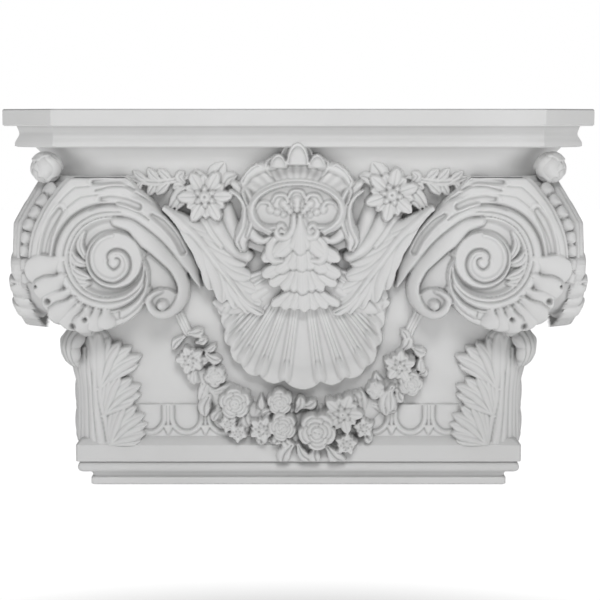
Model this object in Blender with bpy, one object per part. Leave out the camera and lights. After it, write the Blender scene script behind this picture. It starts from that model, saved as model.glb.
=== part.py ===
"""Composite pilaster capital, cast in one piece, for fixing to a wall above a pilaster.

The wall is the plane y = 0 and the front faces -Y. Lengths are in millimetres in the
named sizes and in the carving's own frame, where x runs right from the centre line and
z runs up from the underside. One factor turns them into metres when a mesh is made.
"""
import math

import bmesh
import bpy
import numpy as np
from mathutils import Vector

MM = 0.001

# Overall plan: every course keeps the same distance from the corner diagonal, so its
# half width is its depth plus CORNER.
ABACUS_HALF_WIDTH = 298.0
ABACUS_DEPTH = 125.0
CORNER = ABACUS_HALF_WIDTH - ABACUS_DEPTH
ABACUS_CHAMFER = 56.0

# Heights of the courses above the underside
HEIGHT = 389.0
ABACUS_UNDERSIDE = 372.0
MOULDING_UNDERSIDE = 351.0
FRIEZE_FOOT = 322.0
LEDGE_TOP = 45.0
LEDGE_UNDERSIDE = 29.0
TORUS_UNDERSIDE = 20.0
FILLET_TOP = 11.0

# Depths of the courses in front of the wall
MOULDING_DEPTH = 113.0
MOULDING_NECK_DEPTH = 105.0
FRIEZE_TOP_DEPTH = 98.0
FRIEZE_FOOT_DEPTH = 86.0
BELL_DEPTH = 50.0
LEDGE_DEPTH = 57.0
BASE_NECK_DEPTH = 41.0
FOOT_DEPTH = 43.0
# Every form runs on behind the wall plane, where one cut makes the flat back
OVERRUN = 15.0
BELL_CHAMFER = 14.0

# The corner scrolls: where the eye lies, and the plane of the faces
SCROLL_FACE_DEPTH = 111.0
SCROLL_EYE_DEPTH = 10.0
SCROLL_X = CORNER + SCROLL_EYE_DEPTH
SCROLL_Z = 240.0
EYE_RADIUS = 8.0
EYE_GROOVE_RADIUS = 13.0
COIL_RADIUS = 28.0
HOLLOW_SINK = 8.0
RING_GAP = 2.5
SCROLL_STEPS = 32
FRILL = (174, 264)
FRILL_RISE = 7.0
SIDE_LEAN_FROM = 275.0
SIDE_LEAN = 0.5
# Degrees from the top, turning inward, and radius round the eye. Past 360 a row follows
# the band on its second turn, where it leaves the scroll.
SECOND_TURN = 84.0
HOLLOW_EDGE = ((90, 28.5), (135, 33), (180, 37), (225, 42.5), (270, 45.5), (315, 45.5), (360, 43),
               (403, 46), (444, 28.6))
BAND_EDGE = ((90, 29), (112, 33), (135, 41), (158, 46), (180, 50), (225, 56), (270, 60), (315, 59),
             (360, 55), (401, 54), (444, 29))
RIM = ((90, 29.5), (124, 41), (150, 52), (180, 62), (200, 70), (225, 78), (250, 83), (300, 84),
       (318, 87), (332, 92), (360, 92), (368, 84), (380, 74), (403, 66), (425, 54), (444, 29.5))

# Height above the underside of the fixing point on the wall face
FIXING_HEIGHT = 190.0

# The front carving is one relief, made as a grid and thinned to a share of its faces. Its
# widths are drawn for an eye DRAWN_SCROLL_X from the centre line.
DRAWN_SCROLL_X = 183.0
RELIEF_HALF_WIDTH = SCROLL_X - 13.0
RELIEF_TOP = MOULDING_UNDERSIDE + 9.0
RELIEF_FOOT = LEDGE_UNDERSIDE + 3.0
RELIEF_BACK = 14.0
RELIEF_CELL = 2.5
RELIEF_KEEP = 0.095
NONE = -50.0

# Shell: the point its flutes start from, then rib angles from straight down and their reach
SHELL_X = 4.5
SHELL_Z = 240.0
SHELL_RIBS = (-78, -63, -47, -28, -8.5, 7, 24, 43, 57, 72)
SHELL_REACH = (88, 95, 112, 123, 127, 126, 120, 100, 87, 80)
SHELL_SWELL = 16.0
SHELL_FLUTE = 5.5

# Cartouche: centre and half sizes of its opening, and the planes of its hollow and rim
CARTOUCHE_X = -1.5
CARTOUCHE_Z = 289.0
CARTOUCHE_HALF_WIDTH = 43.0
CARTOUCHE_HALF_HEIGHT = 25.0
CARTOUCHE_HOLLOW_DEPTH = 84.0
CARTOUCHE_RIM_DEPTH = 106.0
CARTOUCHE_REACH = 66.0
CREST_DEPTH = 118.0

FLOWER_X = 93.0
FLOWER_Z = 303.0
FLOWER_RADIUS = 27.0
FLOWER_DEPTH = 90.0
FLOWER_RISE = 16.0
SMALL_SCROLL_X = 137.5
SMALL_SCROLL_Z = 194.0

# Garland: x, z, radius and lift above the bell of each rose and flower
GARLAND = (
    (-107, 137, 12, 16), (-82, 120, 9, 16), (-102, 119, 7, 12), (-90, 92, 5, 14), (-59, 94, 14, 20),
    (-71, 74, 8, 18), (-59, 63, 8, 18), (-35, 70, 14, 21), (-16, 95, 13, 22), (-14, 67, 11, 22),
    (18, 65, 17, 27), (43, 87, 18, 22), (47, 55, 10, 24), (66, 68, 11, 18), (66, 84, 7, 20),
    (74, 102, 10, 18), (114, 116, 11, 15), (102, 132, 13, 15), (127, 129, 9, 11),
)
GARLAND_BED = ((-112, 140), (-96, 112), (-64, 82), (-20, 64), (20, 60), (62, 78), (96, 108), (116, 134))

# Egg band on the bell
EGG_PITCH = 38.5
EGG_Z = 79.0
EGG_RADIUS = 12.5
EGG_RISE = 3.0

# Corner acanthus: height, how far it spreads from the corner, thickness, and its curled tip
ACANTHUS_TOP = 160.0
ACANTHUS_SPREAD = 62.0
ACANTHUS_RISE = 9.0
ACANTHUS_LOBES = 4
TIP_REACH = 15.0
TIP_TOP = 164.0
TIP_DROP = 126.0
BUD_RADIUS = 18.0
BUD_Z = 329.0
BUD_DEPTH = 80.0

WHITE = (0.83, 0.83, 0.83, 1.0)


def clear_scene():
    for obj in list(bpy.data.objects):
        bpy.data.objects.remove(obj, do_unlink=True)


def make_collection(name, hidden=False):
    group = bpy.data.collections.new(name)
    bpy.context.scene.collection.children.link(group)
    group.hide_render = hidden
    return group


def add_object(name, mesh, group, helper=False):
    obj = bpy.data.objects.new(name, mesh)
    group.objects.link(obj)
    if helper:
        obj.hide_render = True
        obj.display_type = "WIRE"
    return obj


def mesh_from(name, bm):
    bmesh.ops.recalc_face_normals(bm, faces=bm.faces)
    mesh = bpy.data.meshes.new(name)
    bm.to_mesh(mesh)
    bm.free()
    return mesh


def point(x, depth, z):
    """A point of the carving's frame in the scene's metres."""
    return Vector((x, -depth, z - FIXING_HEIGHT)) * MM


def smooth(t):
    t = np.clip(t, 0.0, 1.0)
    return t * t * (3.0 - 2.0 * t)


def course_profile():
    """(depth, height, chamfer) of every break in the mouldings, from the underside up."""
    rows = [
        (FOOT_DEPTH - 2.0, 0.0, 2.0),
        (FOOT_DEPTH, 3.0, 2.0),
        (FOOT_DEPTH, FILLET_TOP - 3.0, 2.0),
        (BASE_NECK_DEPTH, FILLET_TOP, 2.0),
    ]
    torus_mid = (TORUS_UNDERSIDE + LEDGE_UNDERSIDE) / 2
    for step in range(3):
        t = (step + 1) / 3
        bulge = BASE_NECK_DEPTH + (LEDGE_DEPTH - 2.0 - BASE_NECK_DEPTH) * math.sin(t * math.pi / 2)
        rows.append((bulge, FILLET_TOP + (torus_mid - FILLET_TOP) * t * t, 2.0))
    rows += [
        (LEDGE_DEPTH - 2.0, LEDGE_UNDERSIDE - 0.5, 2.0),
        (LEDGE_DEPTH, LEDGE_UNDERSIDE, 2.0),
        (LEDGE_DEPTH, LEDGE_TOP - 1.0, 2.0),
        (LEDGE_DEPTH - 5.0, LEDGE_TOP + 6.0, 3.0),
        (BELL_DEPTH - 2.0, LEDGE_TOP + 8.0, BELL_CHAMFER),
    ]
    for step in range(1, 6):
        t = step / 5
        z = LEDGE_TOP + 8.0 + (FRIEZE_FOOT - LEDGE_TOP - 8.0) * t
        rows.append((bell_depth(z), z, BELL_CHAMFER + (ABACUS_CHAMFER - BELL_CHAMFER) * t * t))
    rows += [
        (FRIEZE_FOOT_DEPTH + 3.0, FRIEZE_FOOT + 12.0, ABACUS_CHAMFER),
        (FRIEZE_TOP_DEPTH, MOULDING_UNDERSIDE, ABACUS_CHAMFER),
        (MOULDING_DEPTH - 1.0, MOULDING_UNDERSIDE + 0.5, ABACUS_CHAMFER),
        (MOULDING_DEPTH, MOULDING_UNDERSIDE + 2.0, ABACUS_CHAMFER),
        (MOULDING_DEPTH - 1.0, MOULDING_UNDERSIDE + 10.0, ABACUS_CHAMFER),
        (MOULDING_NECK_DEPTH + 2.0, MOULDING_UNDERSIDE + 15.0, ABACUS_CHAMFER),
        (MOULDING_NECK_DEPTH, ABACUS_UNDERSIDE, ABACUS_CHAMFER),
        (ABACUS_DEPTH - 1.5, ABACUS_UNDERSIDE + 0.5, ABACUS_CHAMFER),
        (ABACUS_DEPTH, ABACUS_UNDERSIDE + 2.5, ABACUS_CHAMFER),
        (ABACUS_DEPTH, HEIGHT - 2.0, ABACUS_CHAMFER),
        (ABACUS_DEPTH - 1.5, HEIGHT, ABACUS_CHAMFER),
    ]
    return rows


def bell_depth(z):
    """Depth of the plain bell: nearly upright below, flaring out to the frieze."""
    low = LEDGE_TOP + 8.0
    t = np.clip((z - low) / (FRIEZE_FOOT - low), 0.0, 1.0)
    return BELL_DEPTH - 2.0 + (FRIEZE_FOOT_DEPTH - BELL_DEPTH + 2.0) * t**3


def make_body(group):
    """The bell with its abacus and base mouldings, a loft of its courses."""
    bm = bmesh.new()
    rings = []
    for depth, z, chamfer in course_profile():
        half = depth + CORNER
        plan = [(-half, -OVERRUN), (-half, depth - chamfer), (-half + chamfer, depth)]
        plan += [(-x, d) for x, d in reversed(plan)]
        rings.append([bm.verts.new(point(x, d, z)) for x, d in plan])
    for low, high in zip(rings, rings[1:]):
        for i in range(len(low)):
            j = (i + 1) % len(low)
            bm.faces.new((low[i], low[j], high[j], high[i]))
    bm.faces.new(rings[0])
    bm.faces.new(rings[-1])
    return add_object("pilaster_capital", mesh_from("pilaster_capital", bm), group)


def table(rows, degrees):
    return float(np.interp(degrees, *zip(*rows)))


def scroll_rings(turn):
    """(radius, offset from the face) of the scroll's coils, for degrees from the top, inward."""
    degrees = turn + 360.0 if turn < SECOND_TURN else turn
    hollow = max(table(HOLLOW_EDGE, degrees), COIL_RADIUS + RING_GAP)
    band = max(table(BAND_EDGE, degrees), hollow + RING_GAP)
    rim = table(RIM, degrees)
    up = math.cos(math.radians(degrees))
    if up > 0:
        rim = min(rim, (FRIEZE_FOOT - SCROLL_Z) / up)
    rim = max(rim, band + RING_GAP)
    gap = hollow - COIL_RADIUS
    sunk = -HOLLOW_SINK * min(1.0, gap / 8.0)
    outer = rim - band
    frill = FRILL_RISE if FRILL[0] < degrees < FRILL[1] else 0.0
    return (
        (EYE_RADIUS, 3.0),
        (EYE_GROOVE_RADIUS, 0.0),
        (COIL_RADIUS, 0.0),
        (COIL_RADIUS + 0.25 * gap, sunk),
        (COIL_RADIUS + 0.7 * gap, sunk),
        (hollow, 0.0),
        (0.5 * (hollow + band), 2.0),
        (band, -2.0 if outer > 4.0 else 0.0),
        (band + 0.2 * outer, 1.5 + 0.7 * frill),
        (band + 0.7 * outer, 2.0 + frill),
        (rim, -2.0 + 0.5 * frill),
    )


def scroll_place(side, front, u, offset, z):
    """A place on a scroll's front face or, mirrored in the corner diagonal, on its side face."""
    face = SCROLL_FACE_DEPTH + offset
    if front:
        return point(side * u, face, z)
    face -= SIDE_LEAN * max(z - SIDE_LEAN_FROM, 0.0)
    return point(side * (face + CORNER), u - CORNER, z)


def make_scroll(side, group):
    """A corner scroll: a roll lying square to the corner, carved on its front and its side."""
    bm = bmesh.new()
    rims = []
    for front in (True, False):
        rings = []
        for step in range(SCROLL_STEPS):
            turn = 360.0 * step / SCROLL_STEPS
            sine, cosine = math.sin(math.radians(turn)), math.cos(math.radians(turn))
            ring = []
            for radius, offset in scroll_rings(turn):
                u, z = SCROLL_X - radius * sine, SCROLL_Z + radius * cosine
                ring.append(bm.verts.new(scroll_place(side, front, u, offset, z)))
            rings.append(ring)
        hub = bm.verts.new(scroll_place(side, front, SCROLL_X, EYE_RADIUS / 2, SCROLL_Z))
        for step in range(SCROLL_STEPS):
            a, b = rings[step - 1], rings[step]
            bm.faces.new((hub, a[0], b[0]))
            for k in range(len(a) - 1):
                bm.faces.new((a[k], a[k + 1], b[k + 1], b[k]))
        rims.append([row[-1] for row in rings])
    for step in range(SCROLL_STEPS):
        bm.faces.new((rims[0][step - 1], rims[0][step], rims[1][step], rims[1][step - 1]))
    bmesh.ops.triangulate(bm, faces=bm.faces)
    return add_object("scroll", mesh_from("scroll", bm), group, helper=True)


def make_wall(group):
    """The block behind the wall plane, which is cut away."""
    bm = bmesh.new()
    reach = 2 * ABACUS_HALF_WIDTH
    bmesh.ops.create_cube(bm, size=1.0)
    bmesh.ops.scale(bm, vec=Vector((2 * reach, reach, 2 * reach)) * MM, verts=bm.verts)
    bmesh.ops.translate(bm, vec=(0.0, reach / 2 * MM, 0.0), verts=bm.verts)
    return add_object("wall", mesh_from("wall", bm), group, helper=True)


def curve_points(knots, count=24):
    """A smooth curve through the knots."""
    k = np.array(knots, float)
    k = np.vstack([2 * k[0] - k[1], k, 2 * k[-1] - k[-2]])
    spans = len(k) - 3
    t = np.linspace(0, spans, count)
    i = np.minimum(t.astype(int), spans - 1)
    f = (t - i)[:, None]
    a, b, c, d = k[i], k[i + 1], k[i + 2], k[i + 3]
    cubic = (3 * b - a - 3 * c + d) * f**3
    return 0.5 * (2 * b + (c - a) * f + (2 * a - 5 * b + 4 * c - d) * f**2 + cubic)


def along(x, z, line):
    """For each place, its share of the way along the line and its distance from it."""
    seg = line[1:] - line[:-1]
    size = np.hypot(seg[:, 0], seg[:, 1])
    start = np.concatenate([[0.0], np.cumsum(size)])
    best = np.full(x.shape, 1e9)
    share = np.zeros(x.shape)
    for (px, pz), (dx, dz), length, before in zip(line, seg, size, start):
        t = np.clip(((x - px) * dx + (z - pz) * dz) / length**2, 0, 1)
        away = np.hypot(x - px - t * dx, z - pz - t * dz)
        share = np.where(away < best, (before + t * length) / start[-1], share)
        best = np.minimum(away, best)
    return share, best


def bar(x, z, knots, widths, rise, floor):
    """A round bar along a curve: half widths along it, its rise, and the plane it stands on."""
    share, away = along(x, z, curve_points(knots))
    q = away / np.interp(share, np.linspace(0, 1, len(widths)), widths)
    return np.where(q < 1, floor + rise * np.sqrt(np.clip(1 - q * q, 0, 1)), NONE)


def shell(x, z):
    """The fluted shell, its scalloped rim turned forward."""
    dx, dz = x - SHELL_X, SHELL_Z - z
    ribs = np.array(SHELL_RIBS, float)
    reach = np.array(SHELL_REACH, float)
    angle = np.degrees(np.arctan2(dx, dz))
    i = np.clip(np.searchsorted(ribs, angle) - 1, 0, len(ribs) - 2)
    t = np.clip((angle - ribs[i]) / (ribs[i + 1] - ribs[i]), 0, 1)
    end = reach[i] * (1 - t) + reach[i + 1] * t + 8.0 * np.sin(np.pi * t)
    q = np.hypot(dx, dz) / end
    inside = (angle > ribs[0]) & (angle < ribs[-1]) & (q < 1)
    flute = SHELL_FLUTE * np.sin(np.pi * t) * (1 - smooth((q - 0.8) / 0.15))
    rise = 8.0 + SHELL_SWELL * q**1.3 - 4.0 * q**6 - flute
    return np.where(inside, bell_depth(z) + rise, NONE)


def cartouche(x, z):
    """The oval hollow with its rim, the fluted cove round it and the crest lobes above."""
    dx, dz = x - CARTOUCHE_X, z - CARTOUCHE_Z
    oval = np.hypot(dx / CARTOUCHE_HALF_WIDTH, dz / CARTOUCHE_HALF_HEIGHT)
    reach = np.hypot(dx, dz * 1.02) / CARTOUCHE_REACH
    over = np.degrees(np.arctan2(np.abs(dx), dz))
    cove = np.where((reach < 1) & (over < 112), CARTOUCHE_RIM_DEPTH - 10.0 * (1 - reach), NONE)
    rim = np.where((oval < 1.14) & (over < 150), CARTOUCHE_RIM_DEPTH, NONE)
    h = np.where(oval < 1, CARTOUCHE_HOLLOW_DEPTH + 4.0 * oval, np.maximum(cove, rim))
    crest = ((-0.5, 334, 10.5, 23), (-19.5, 330, 10, 17.5), (18.5, 330, 10, 17.5))
    for lobe_x, lobe_z, width, tall in crest:
        q = np.hypot((x - lobe_x) / width, (z - lobe_z) / tall)
        h = np.maximum(h, np.where((q < 1) & (z > lobe_z), CREST_DEPTH - 3.0 * q, NONE))
    return h


def cartouche_leaves(x, z):
    """Ears, side straps and brackets, the same on both sides."""
    u = np.abs(x - CARTOUCHE_X)
    forms = (
        (((25, 333), (38, 335), (50, 328), (52, 318)), (5, 9, 8, 3), 9, 98),
        (((52, 316), (60, 317), (66, 308)), (4, 7, 4), 8, 98),
        (((62, 308), (57, 296), (53, 280), (53, 262), (58, 248)), (7, 6, 5, 6, 8), 10, 90),
        (((47, 290), (46, 272), (38, 262), (28, 258)), (4, 5, 5, 3), 8, 96),
        (((16, 262), (27, 256), (30, 242), (22, 232), (13, 236)), (3, 6, 7, 6, 3), 9, 88),
        (((4, 282), (6, 266), (14, 256), (23, 258), (20, 270)), (4, 5, 6, 6, 4), 9, 96),
    )
    h = np.full(x.shape, NONE)
    for knots, widths, rise, floor in forms:
        h = np.maximum(h, bar(u, z, knots, widths, rise, floor))
    return h


def drop(x, z):
    """The hanging husk between the cartouche and the shell: rows of tongues, the lowest first."""
    h = np.full(x.shape, NONE)
    rows = ((6, 232, 187, 12, 80), (5.5, 250, 204, 8.5, 87), (4, 262, 226, 11, 92), (2.5, 272, 243, 0, 98))
    for centre, root, tip, lean, floor in rows:
        for k in ((-2, 2, -1, 1, 0) if lean else (0,)):
            end = root - (root - tip) * (1 - 0.1 * abs(k))
            middle = (centre + 0.5 * k * lean, (root + end) / 2)
            knots = ((centre + k, root), middle, (centre + k * lean, end))
            h = np.maximum(h, bar(x, z, knots, (4, 7, 8, 7, 2.5), 9, floor - 2 * abs(k)))
    for reach, height in ((40, 219), (44, 227)):
        knots = ((8, 246), (22, 234), (reach, height))
        h = np.maximum(h, bar(np.abs(x - 3), z, knots, (3, 6, 5, 2), 8, 83))
    return h


def branch(x, z):
    """The acanthus branch that runs from each scroll down to the shell."""
    u = np.abs(x)
    floor = 66 + 30 * smooth((u - 40) / 110)
    midrib = ((128, 290), (113, 275), (99, 259), (79, 229), (57, 199), (36, 186))
    h = bar(u, z, midrib, (5, 5, 5, 4, 3, 2), 6, floor + 5)
    lobes = (
        ((112, 274), (100, 270), (85, 263), 8), ((98, 258), (78, 247), (68, 239), 9),
        ((86, 240), (66, 228), (52, 222), 8), ((76, 226), (60, 216), (48, 210), 7),
        ((66, 211), (52, 204), (38, 199), 7), ((104, 262), (92, 232), (84, 200), 10),
        ((90, 243), (80, 218), (66, 183), 9), ((72, 218), (60, 196), (51, 182), 8),
        ((60, 202), (48, 188), (37, 181), 7),
    )
    for root, middle, tip, width in lobes:
        knots = (root, middle, tip)
        h = np.maximum(h, bar(u, z, knots, (0.4 * width, 0.9 * width, width, 0.7 * width, 2), 9, floor))
    return h


def tongue(x, z):
    """What leaves each scroll inward: the tongue, and the stem that ends in the small scroll."""
    u = np.abs(x)
    floor = 60 + 50 * smooth((u - 80) / 78)
    web = ((158, 292), (140, 276), (122, 256), (108, 236), (101, 222))
    h = bar(u, z, web, (14, 12, 10, 7, 3), 3, floor - 6)
    blade = ((172, 303), (152, 294), (134, 279), (117, 259.5), (105, 239.5), (98, 216))
    h = np.maximum(h, bar(u, z, blade, (10, 11, 10.5, 9, 7, 2), 6, floor))
    stem = ((160, 262), (148, 258), (135, 245), (122, 228), (117, 211), (121, 195), (132, 186.5),
            (143, 187.5), (148, 195))
    h = np.maximum(h, bar(u, z, stem, (12, 12, 11.5, 8.5, 6.8, 6.3, 6.5, 6.8, 6.6), 8, floor - 3.5))
    eye = np.hypot(u - SMALL_SCROLL_X, z - SMALL_SCROLL_Z)
    h = np.maximum(h, np.where(eye < 16, floor - 4, NONE))
    h = np.maximum(h, np.where(eye < 5.5, floor + 5, NONE))
    ribbon = bar(u, z, ((124, 184), (112, 158)), (6, 6), 4, bell_depth(z) + 3)
    return np.maximum(h, ribbon)


def blossom(x, z, centre_x, centre_z, radius, petals, rise, floor):
    dx, dz = x - centre_x, z - centre_z
    away = np.hypot(dx, dz)
    petal = np.abs(np.cos(petals * np.arctan2(dz, dx) / 2))
    t = away / (radius * (0.62 + 0.38 * petal**0.6))
    h = np.where(t < 1, floor + rise * (1 - 0.25 * t**2) * (0.7 + 0.3 * petal), NONE)
    boss = away / (0.34 * radius)
    return np.maximum(h, np.where(boss < 1, floor + rise * (0.85 + 0.4 * (1 - boss**2)), NONE))


def flowers(x, z):
    """The open flower beside the cartouche on each side, with stem, bud and sprays."""
    u = np.abs(x)
    h = bar(u, z, ((FLOWER_X - 6, FLOWER_Z - 14), (75, 269), (55, 243)), (11, 9, 5), 10, 74)
    h = np.maximum(h, bar(u, z, ((84, 317), (75, 328), (69, 334)), (7, 9, 4), 8, 86))
    sprays = (
        ((107, 321), (143, 327), (176, 322)), ((111, 313), (143, 309), (159, 305)),
        ((113, 307), (127, 299), (131, 287)),
    )
    for knots in sprays:
        h = np.maximum(h, bar(u, z, knots, (3, 8, 9, 8, 2), 8, 86))
    return np.maximum(h, blossom(u, z, FLOWER_X, FLOWER_Z, FLOWER_RADIUS, 6, FLOWER_RISE, FLOWER_DEPTH))


def garland(x, z):
    """The hanging garland: a bed of leaves with the heads of roses and flowers on it."""
    floor = bell_depth(np.maximum(z, LEDGE_TOP + 8.0))
    h = bar(x, z, GARLAND_BED, (6, 9, 14, 15, 15, 13, 9, 6), 12, floor)
    for head_x, head_z, radius, lift in GARLAND:
        t = np.hypot(x - head_x, z - head_z) / radius
        dome = 0.7 * radius * np.sqrt(np.clip(1 - t * t, 0, 1)) - 3.0 * np.exp(-((t / 0.3) ** 2))
        h = np.maximum(h, np.where(t < 1, floor + lift + dome, NONE))
    leaves = (
        ((-107, 150), (-95, 143), (-84, 134), 8), ((-88, 90), (-88, 80), (-90, 70), 7),
        ((-2, 66), (-10, 50), (-12, 35), 9), ((18, 54), (20, 44), (18, 35), 8),
        ((26, 56), (34, 46), (42, 38), 8), ((128, 158), (118, 150), (108, 138), 8),
        ((98, 108), (92, 94), (86, 80), 9), ((120, 104), (128, 102), (138, 99), 6),
    )
    for root, middle, tip, width in leaves:
        h = np.maximum(h, bar(x, z, (root, middle, tip), (0.4 * width, width, 0.8 * width, 2), 8, floor + 9))
    return h


def shell_curls(x, z):
    """The leaves that curl up at the two ends of the shell."""
    u = np.abs(x - 3.0)
    knots = ((16, 215), (40, 196), (62, 176), (76, 172), (86, 183), (83, 198), (74, 201))
    return bar(u, z, knots, (6, 8, 10, 9, 8, 6, 4), 17, bell_depth(z) + 10)


def eggs(x, z):
    """The eggs of the band at the foot of the bell."""
    u = (x / EGG_PITCH + 0.5) % 1.0 * EGG_PITCH - EGG_PITCH / 2
    above = z - EGG_Z
    away = np.where(above > 0, np.abs(u), np.hypot(u, above))
    inside = (away < EGG_RADIUS) & (above < EGG_RADIUS)
    return np.where(inside, bell_depth(z) + EGG_RISE * (1 - (away / EGG_RADIUS) ** 2), NONE)


def relief_depth(x, z):
    forms = (eggs, shell, shell_curls, garland, branch, drop, flowers, tongue, cartouche, cartouche_leaves)
    h = np.full(x.shape, NONE)
    for form in forms:
        h = np.maximum(h, form(x, z))
    return np.maximum(h, RELIEF_BACK + 6.0)


def make_relief(group):
    """The front carving as one closed slab whose back lies inside the bell."""
    columns = round(2 * RELIEF_HALF_WIDTH / RELIEF_CELL) + 1
    rows = round((RELIEF_TOP - RELIEF_FOOT) / RELIEF_CELL) + 1
    x, z = np.meshgrid(np.linspace(-RELIEF_HALF_WIDTH, RELIEF_HALF_WIDTH, columns),
                       np.linspace(RELIEF_FOOT, RELIEF_TOP, rows))
    depth = relief_depth(x * DRAWN_SCROLL_X / SCROLL_X, z)
    bm = bmesh.new()
    front = []
    for j in range(rows):
        front.append([bm.verts.new(point(x[j, i], depth[j, i], z[j, i])) for i in range(columns)])
    for j in range(rows - 1):
        for i in range(columns - 1):
            bm.faces.new((front[j][i], front[j][i + 1], front[j + 1][i + 1], front[j + 1][i]))
    bmesh.ops.triangulate(bm, faces=bm.faces)
    mesh = bpy.data.meshes.new("relief_front")
    bm.to_mesh(mesh)
    bm.free()
    sheet = add_object("relief_front", mesh, group, helper=True)
    thin = sheet.modifiers.new("thin", "DECIMATE")
    thin.ratio = RELIEF_KEEP
    graph = bpy.context.evaluated_depsgraph_get()
    thinned = bpy.data.meshes.new_from_object(sheet.evaluated_get(graph))
    bpy.data.objects.remove(sheet, do_unlink=True)
    bm = bmesh.new()
    bm.from_mesh(thinned)
    rim = [edge for edge in bm.edges if edge.is_boundary]
    made = bmesh.ops.extrude_edge_only(bm, edges=rim)
    back = [part for part in made["geom"] if isinstance(part, bmesh.types.BMVert)]
    for vert in back:
        vert.co.y = -RELIEF_BACK * MM
    bmesh.ops.holes_fill(bm, edges=[edge for edge in bm.edges if edge.is_boundary])
    bmesh.ops.triangulate(bm, faces=bm.faces)
    return add_object("relief", mesh_from("relief", bm), group, helper=True)


def corner_plan(side, from_corner, out, depth):
    """Plan places on the front face and, mirrored in the corner diagonal, on the side face."""
    x = depth + CORNER - from_corner
    front = (side * x, depth + out)
    flank = (side * (depth + out + CORNER), x - CORNER)
    return front, flank


def make_acanthus(side, group):
    """The leaf that wraps each lower corner: lobed edges, a raised rib and hollows between."""
    bm = bmesh.new()
    levels = 4 * ACANTHUS_LOBES + 1
    rings = []
    for step in range(levels):
        t = step / (levels - 1)
        z = LEDGE_TOP + 3.0 + (ACANTHUS_TOP - LEDGE_TOP - 3.0) * t
        lobe = abs(math.sin(math.pi * (ACANTHUS_LOBES * t + 0.15)))
        spread = ACANTHUS_SPREAD * (1 - 0.45 * t) * (0.72 + 0.28 * lobe)
        depth = float(bell_depth(z))
        rise = ACANTHUS_RISE * (0.7 + 0.5 * t)
        rows = ((spread, -6.0), (spread, 0.55 * rise), (0.7 * spread, rise), (0.36 * spread, 0.3 * rise),
                (0.12 * spread, rise))
        pairs = [corner_plan(side, away, out, depth) for away, out in rows]
        plan = [pair[0] for pair in pairs] + [pair[1] for pair in reversed(pairs)]
        rings.append([bm.verts.new(point(x, d, z)) for x, d in plan])
    close_loft(bm, rings)
    return add_object("acanthus", mesh_from("acanthus", bm), group, helper=True)


def close_loft(bm, rings):
    for low, high in zip(rings, rings[1:]):
        for i in range(len(low)):
            j = (i + 1) % len(low)
            bm.faces.new((low[i], low[j], high[j], high[i]))
    bm.faces.new(rings[0])
    bm.faces.new(rings[-1])


def make_tip(side, group):
    """The curled tip of the corner leaf, hanging clear of the corner under the scroll."""
    bm = bmesh.new()
    corner = float(bell_depth(ACANTHUS_TOP)) - BELL_CHAMFER / 2
    # (reach along the diagonal, height, half width, half thickness)
    path = ((-12, TIP_DROP + 6, 12, 6), (-4, TIP_TOP - 14, 15, 8), (0.5 * TIP_REACH, TIP_TOP - 3, 16, 8),
            (TIP_REACH - 1, TIP_TOP - 8, 15, 7), (TIP_REACH + 2, TIP_TOP - 18, 12, 6),
            (TIP_REACH, TIP_DROP + 8, 8, 5), (TIP_REACH - 4, TIP_DROP, 3, 3))
    rings = []
    for k, (reach, z, half, thick) in enumerate(path):
        a, b = path[max(k - 1, 0)], path[min(k + 1, len(path) - 1)]
        run, climb = b[0] - a[0], b[1] - a[1]
        size = math.hypot(run, climb)
        ring = []
        for step in range(8):
            turn = 2 * math.pi * step / 8
            away = thick * math.sin(turn)
            out = reach - away * climb / size
            across = half * math.cos(turn) / math.sqrt(2)
            u, depth = corner + CORNER + out - across, corner + out + across
            ring.append(bm.verts.new(point(side * u, depth, z + away * run / size)))
        rings.append(ring)
    close_loft(bm, rings)
    return add_object("leaf_tip", mesh_from("leaf_tip", bm), group, helper=True)


def make_bud(side, group):
    """The bud in the frieze over each scroll."""
    bm = bmesh.new()
    bmesh.ops.create_uvsphere(bm, u_segments=12, v_segments=8, radius=BUD_RADIUS * MM)
    for vert in bm.verts:
        vert.co += point(side * (BUD_DEPTH + CORNER), BUD_DEPTH, BUD_Z)
    return add_object("bud", mesh_from("bud", bm), group, helper=True)


def make_white():
    material = bpy.data.materials.new("white_primer")
    material.use_nodes = True
    shader = material.node_tree.nodes["Principled BSDF"]
    shader.inputs["Base Color"].default_value = WHITE
    shader.inputs["Roughness"].default_value = 0.6
    return material


def main():
    clear_scene()
    parts = make_collection("pilaster_capital_parts")
    carving = make_collection("carving", hidden=True)
    body = make_body(parts)
    body.data.materials.append(make_white())
    for side in (-1, 1):
        make_scroll(side, carving)
        make_acanthus(side, carving)
        make_tip(side, carving)
        make_bud(side, carving)
    make_relief(carving)
    join = body.modifiers.new("carving", "BOOLEAN")
    join.operation = "UNION"
    join.operand_type = "COLLECTION"
    join.collection = carving
    back = body.modifiers.new("flat_back", "BOOLEAN")
    back.operation = "DIFFERENCE"
    back.object = make_wall(make_collection("wall", hidden=True))


main()
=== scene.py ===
import math

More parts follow.
